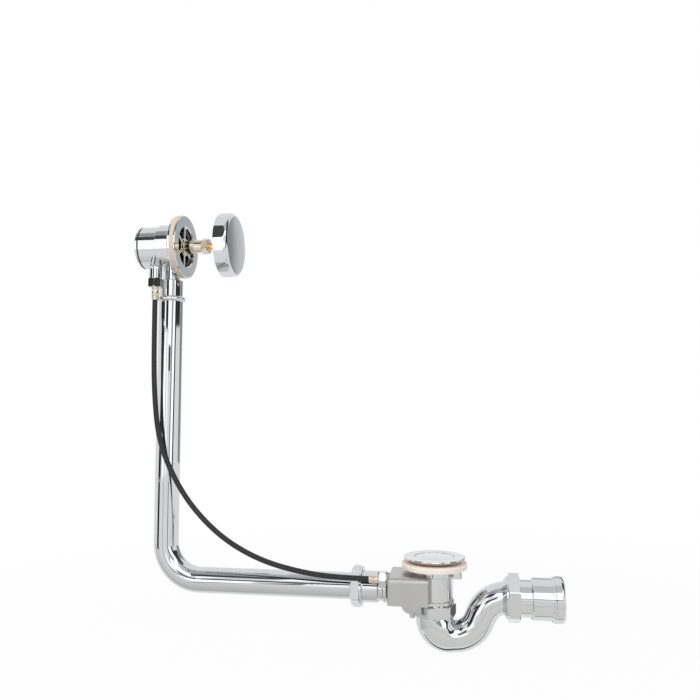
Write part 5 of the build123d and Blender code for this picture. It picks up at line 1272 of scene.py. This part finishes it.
    def _white_to_the_eye(self, tree: bpy.types.NodeTree) -> None:
        """Make the floor white to the camera and in mirrors, with the object's shadow kept.

        Args:
            tree: The floor material's nodes.
        """
        shader = tree.nodes["Principled BSDF"]
        give(
            shader,
            {
                "Base Color": (*self.floor_color, 1.0),
                "Roughness": self.floor_roughness,
                "Specular IOR Level": 0.0,
            },
        )
        glow = tree.nodes.new("ShaderNodeEmission")
        give(glow, {"Strength": 1.0})
        blend = tree.nodes.new("ShaderNodeMixShader")
        seen = self._seen_rays(tree)
        part = tree.nodes.new("ShaderNodeMath")
        part.operation = "MULTIPLY"
        place = tree.nodes.new("ShaderNodeTexCoord")
        away = tree.nodes.new("ShaderNodeVectorMath")
        away.operation = "LENGTH"
        fade = tree.nodes.new("ShaderNodeMapRange")
        give(fade, {"From Min": self.floor_fade[0], "From Max": self.floor_fade[1]})
        give(fade, {"To Min": self.floor_white[0], "To Max": self.floor_white[1]})
        tree.links.new(place.outputs["Object"], away.inputs[0])
        tree.links.new(away.outputs["Value"], fade.inputs["Value"])
        tree.links.new(fade.outputs["Result"], part.inputs[1])
        tree.links.new(seen.outputs["Value"], part.inputs[0])
        tree.links.new(part.outputs["Value"], blend.inputs["Fac"])
        tree.links.new(shader.outputs["BSDF"], blend.inputs[1])
        tree.links.new(glow.outputs["Emission"], blend.inputs[2])
        out = tree.nodes["Material Output"]
        tree.links.new(blend.outputs["Shader"], out.inputs["Surface"])

    def _seen_rays(self, tree: bpy.types.NodeTree) -> bpy.types.Node:
        """Add up the rays that show the surround: camera, glossy and transmission.

        Args:
            tree: The nodes to add to.

        Returns:
            A node whose value is 1 for those rays.
        """
        path = tree.nodes.new("ShaderNodeLightPath")
        first = tree.nodes.new("ShaderNodeMath")
        first.operation = "MAXIMUM"
        second = tree.nodes.new("ShaderNodeMath")
        second.operation = "MAXIMUM"
        tree.links.new(path.outputs["Is Camera Ray"], first.inputs[0])
        tree.links.new(path.outputs["Is Glossy Ray"], first.inputs[1])
        tree.links.new(first.outputs["Value"], second.inputs[0])
        tree.links.new(path.outputs["Is Transmission Ray"], second.inputs[1])
        return second

    def world(self) -> None:
        """Light the scene from all round, and show white to the camera and to mirrors."""
        world = bpy.data.worlds.new("studio_surround")
        bpy.context.scene.world = world
        world.use_nodes = True
        tree = world.node_tree
        light = tree.nodes["Background"]
        give(light, {"Color": (*WHITE, 1.0), "Strength": self.surround})
        white = tree.nodes.new("ShaderNodeBackground")
        give(white, {"Color": (*WHITE, 1.0), "Strength": 1.0})
        blend = tree.nodes.new("ShaderNodeMixShader")
        seen = self._seen_rays(tree)
        tree.links.new(seen.outputs["Value"], blend.inputs["Fac"])
        tree.links.new(light.outputs["Background"], blend.inputs[1])
        tree.links.new(white.outputs["Background"], blend.inputs[2])
        tree.links.new(blend.outputs["Shader"], tree.nodes["World Output"].inputs["Surface"])

    def camera(self) -> None:
        """Set the camera at the photograph's viewpoint."""
        data = bpy.data.cameras.new("camera")
        data.sensor_width = self.camera_sensor
        data.lens = self.camera_lens
        data.clip_start, data.clip_end = self.camera_clip
        camera = bpy.data.objects.new("camera", data)
        bpy.context.scene.collection.objects.link(camera)
        yaw, pitch = math.radians(self.camera_yaw), math.radians(self.camera_pitch)
        aim = Vector((math.sin(yaw) * math.cos(pitch), math.cos(yaw) * math.cos(pitch), math.sin(pitch)))
        camera.location = self.camera_place
        camera.rotation_euler = aim.to_track_quat("-Z", "Y").to_euler()
        bpy.context.scene.camera = camera

    def build(self) -> None:
        """Put the studio together."""
        bpy.context.scene.view_settings.view_transform = "Standard"
        self.world()
        self.floor()
        for item in (*self.lamps, *self.cards, *self.floor_cards, *self.floor_wedges):
            item.build()
        self.camera()


def dress_nodes() -> None:
    """Give every CAD node the finish of its material slot."""
    for name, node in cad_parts.items():
        slot = node.material_slots[0].material.name.split(".")[0]
        node.material_slots[0].material = SLOT_FINISHES[slot].value.material()
        LOG.info("dressed %s in %s", name, slot)


def main() -> None:
    """Build the studio and dress the object."""
    logging.basicConfig(level=logging.INFO, format="%(message)s")
    Studio().build()
    dress_nodes()
    cable = CableRun()
    cable.dress(cable.build())
    for piece in (*SOFT_RINGS, *HEX_NUTS, *FERRULES, CrownedKnob()):
        piece.dress(piece.build())
        LOG.info("modelled %s", piece.node)


if __name__ == "__main__":
    main()
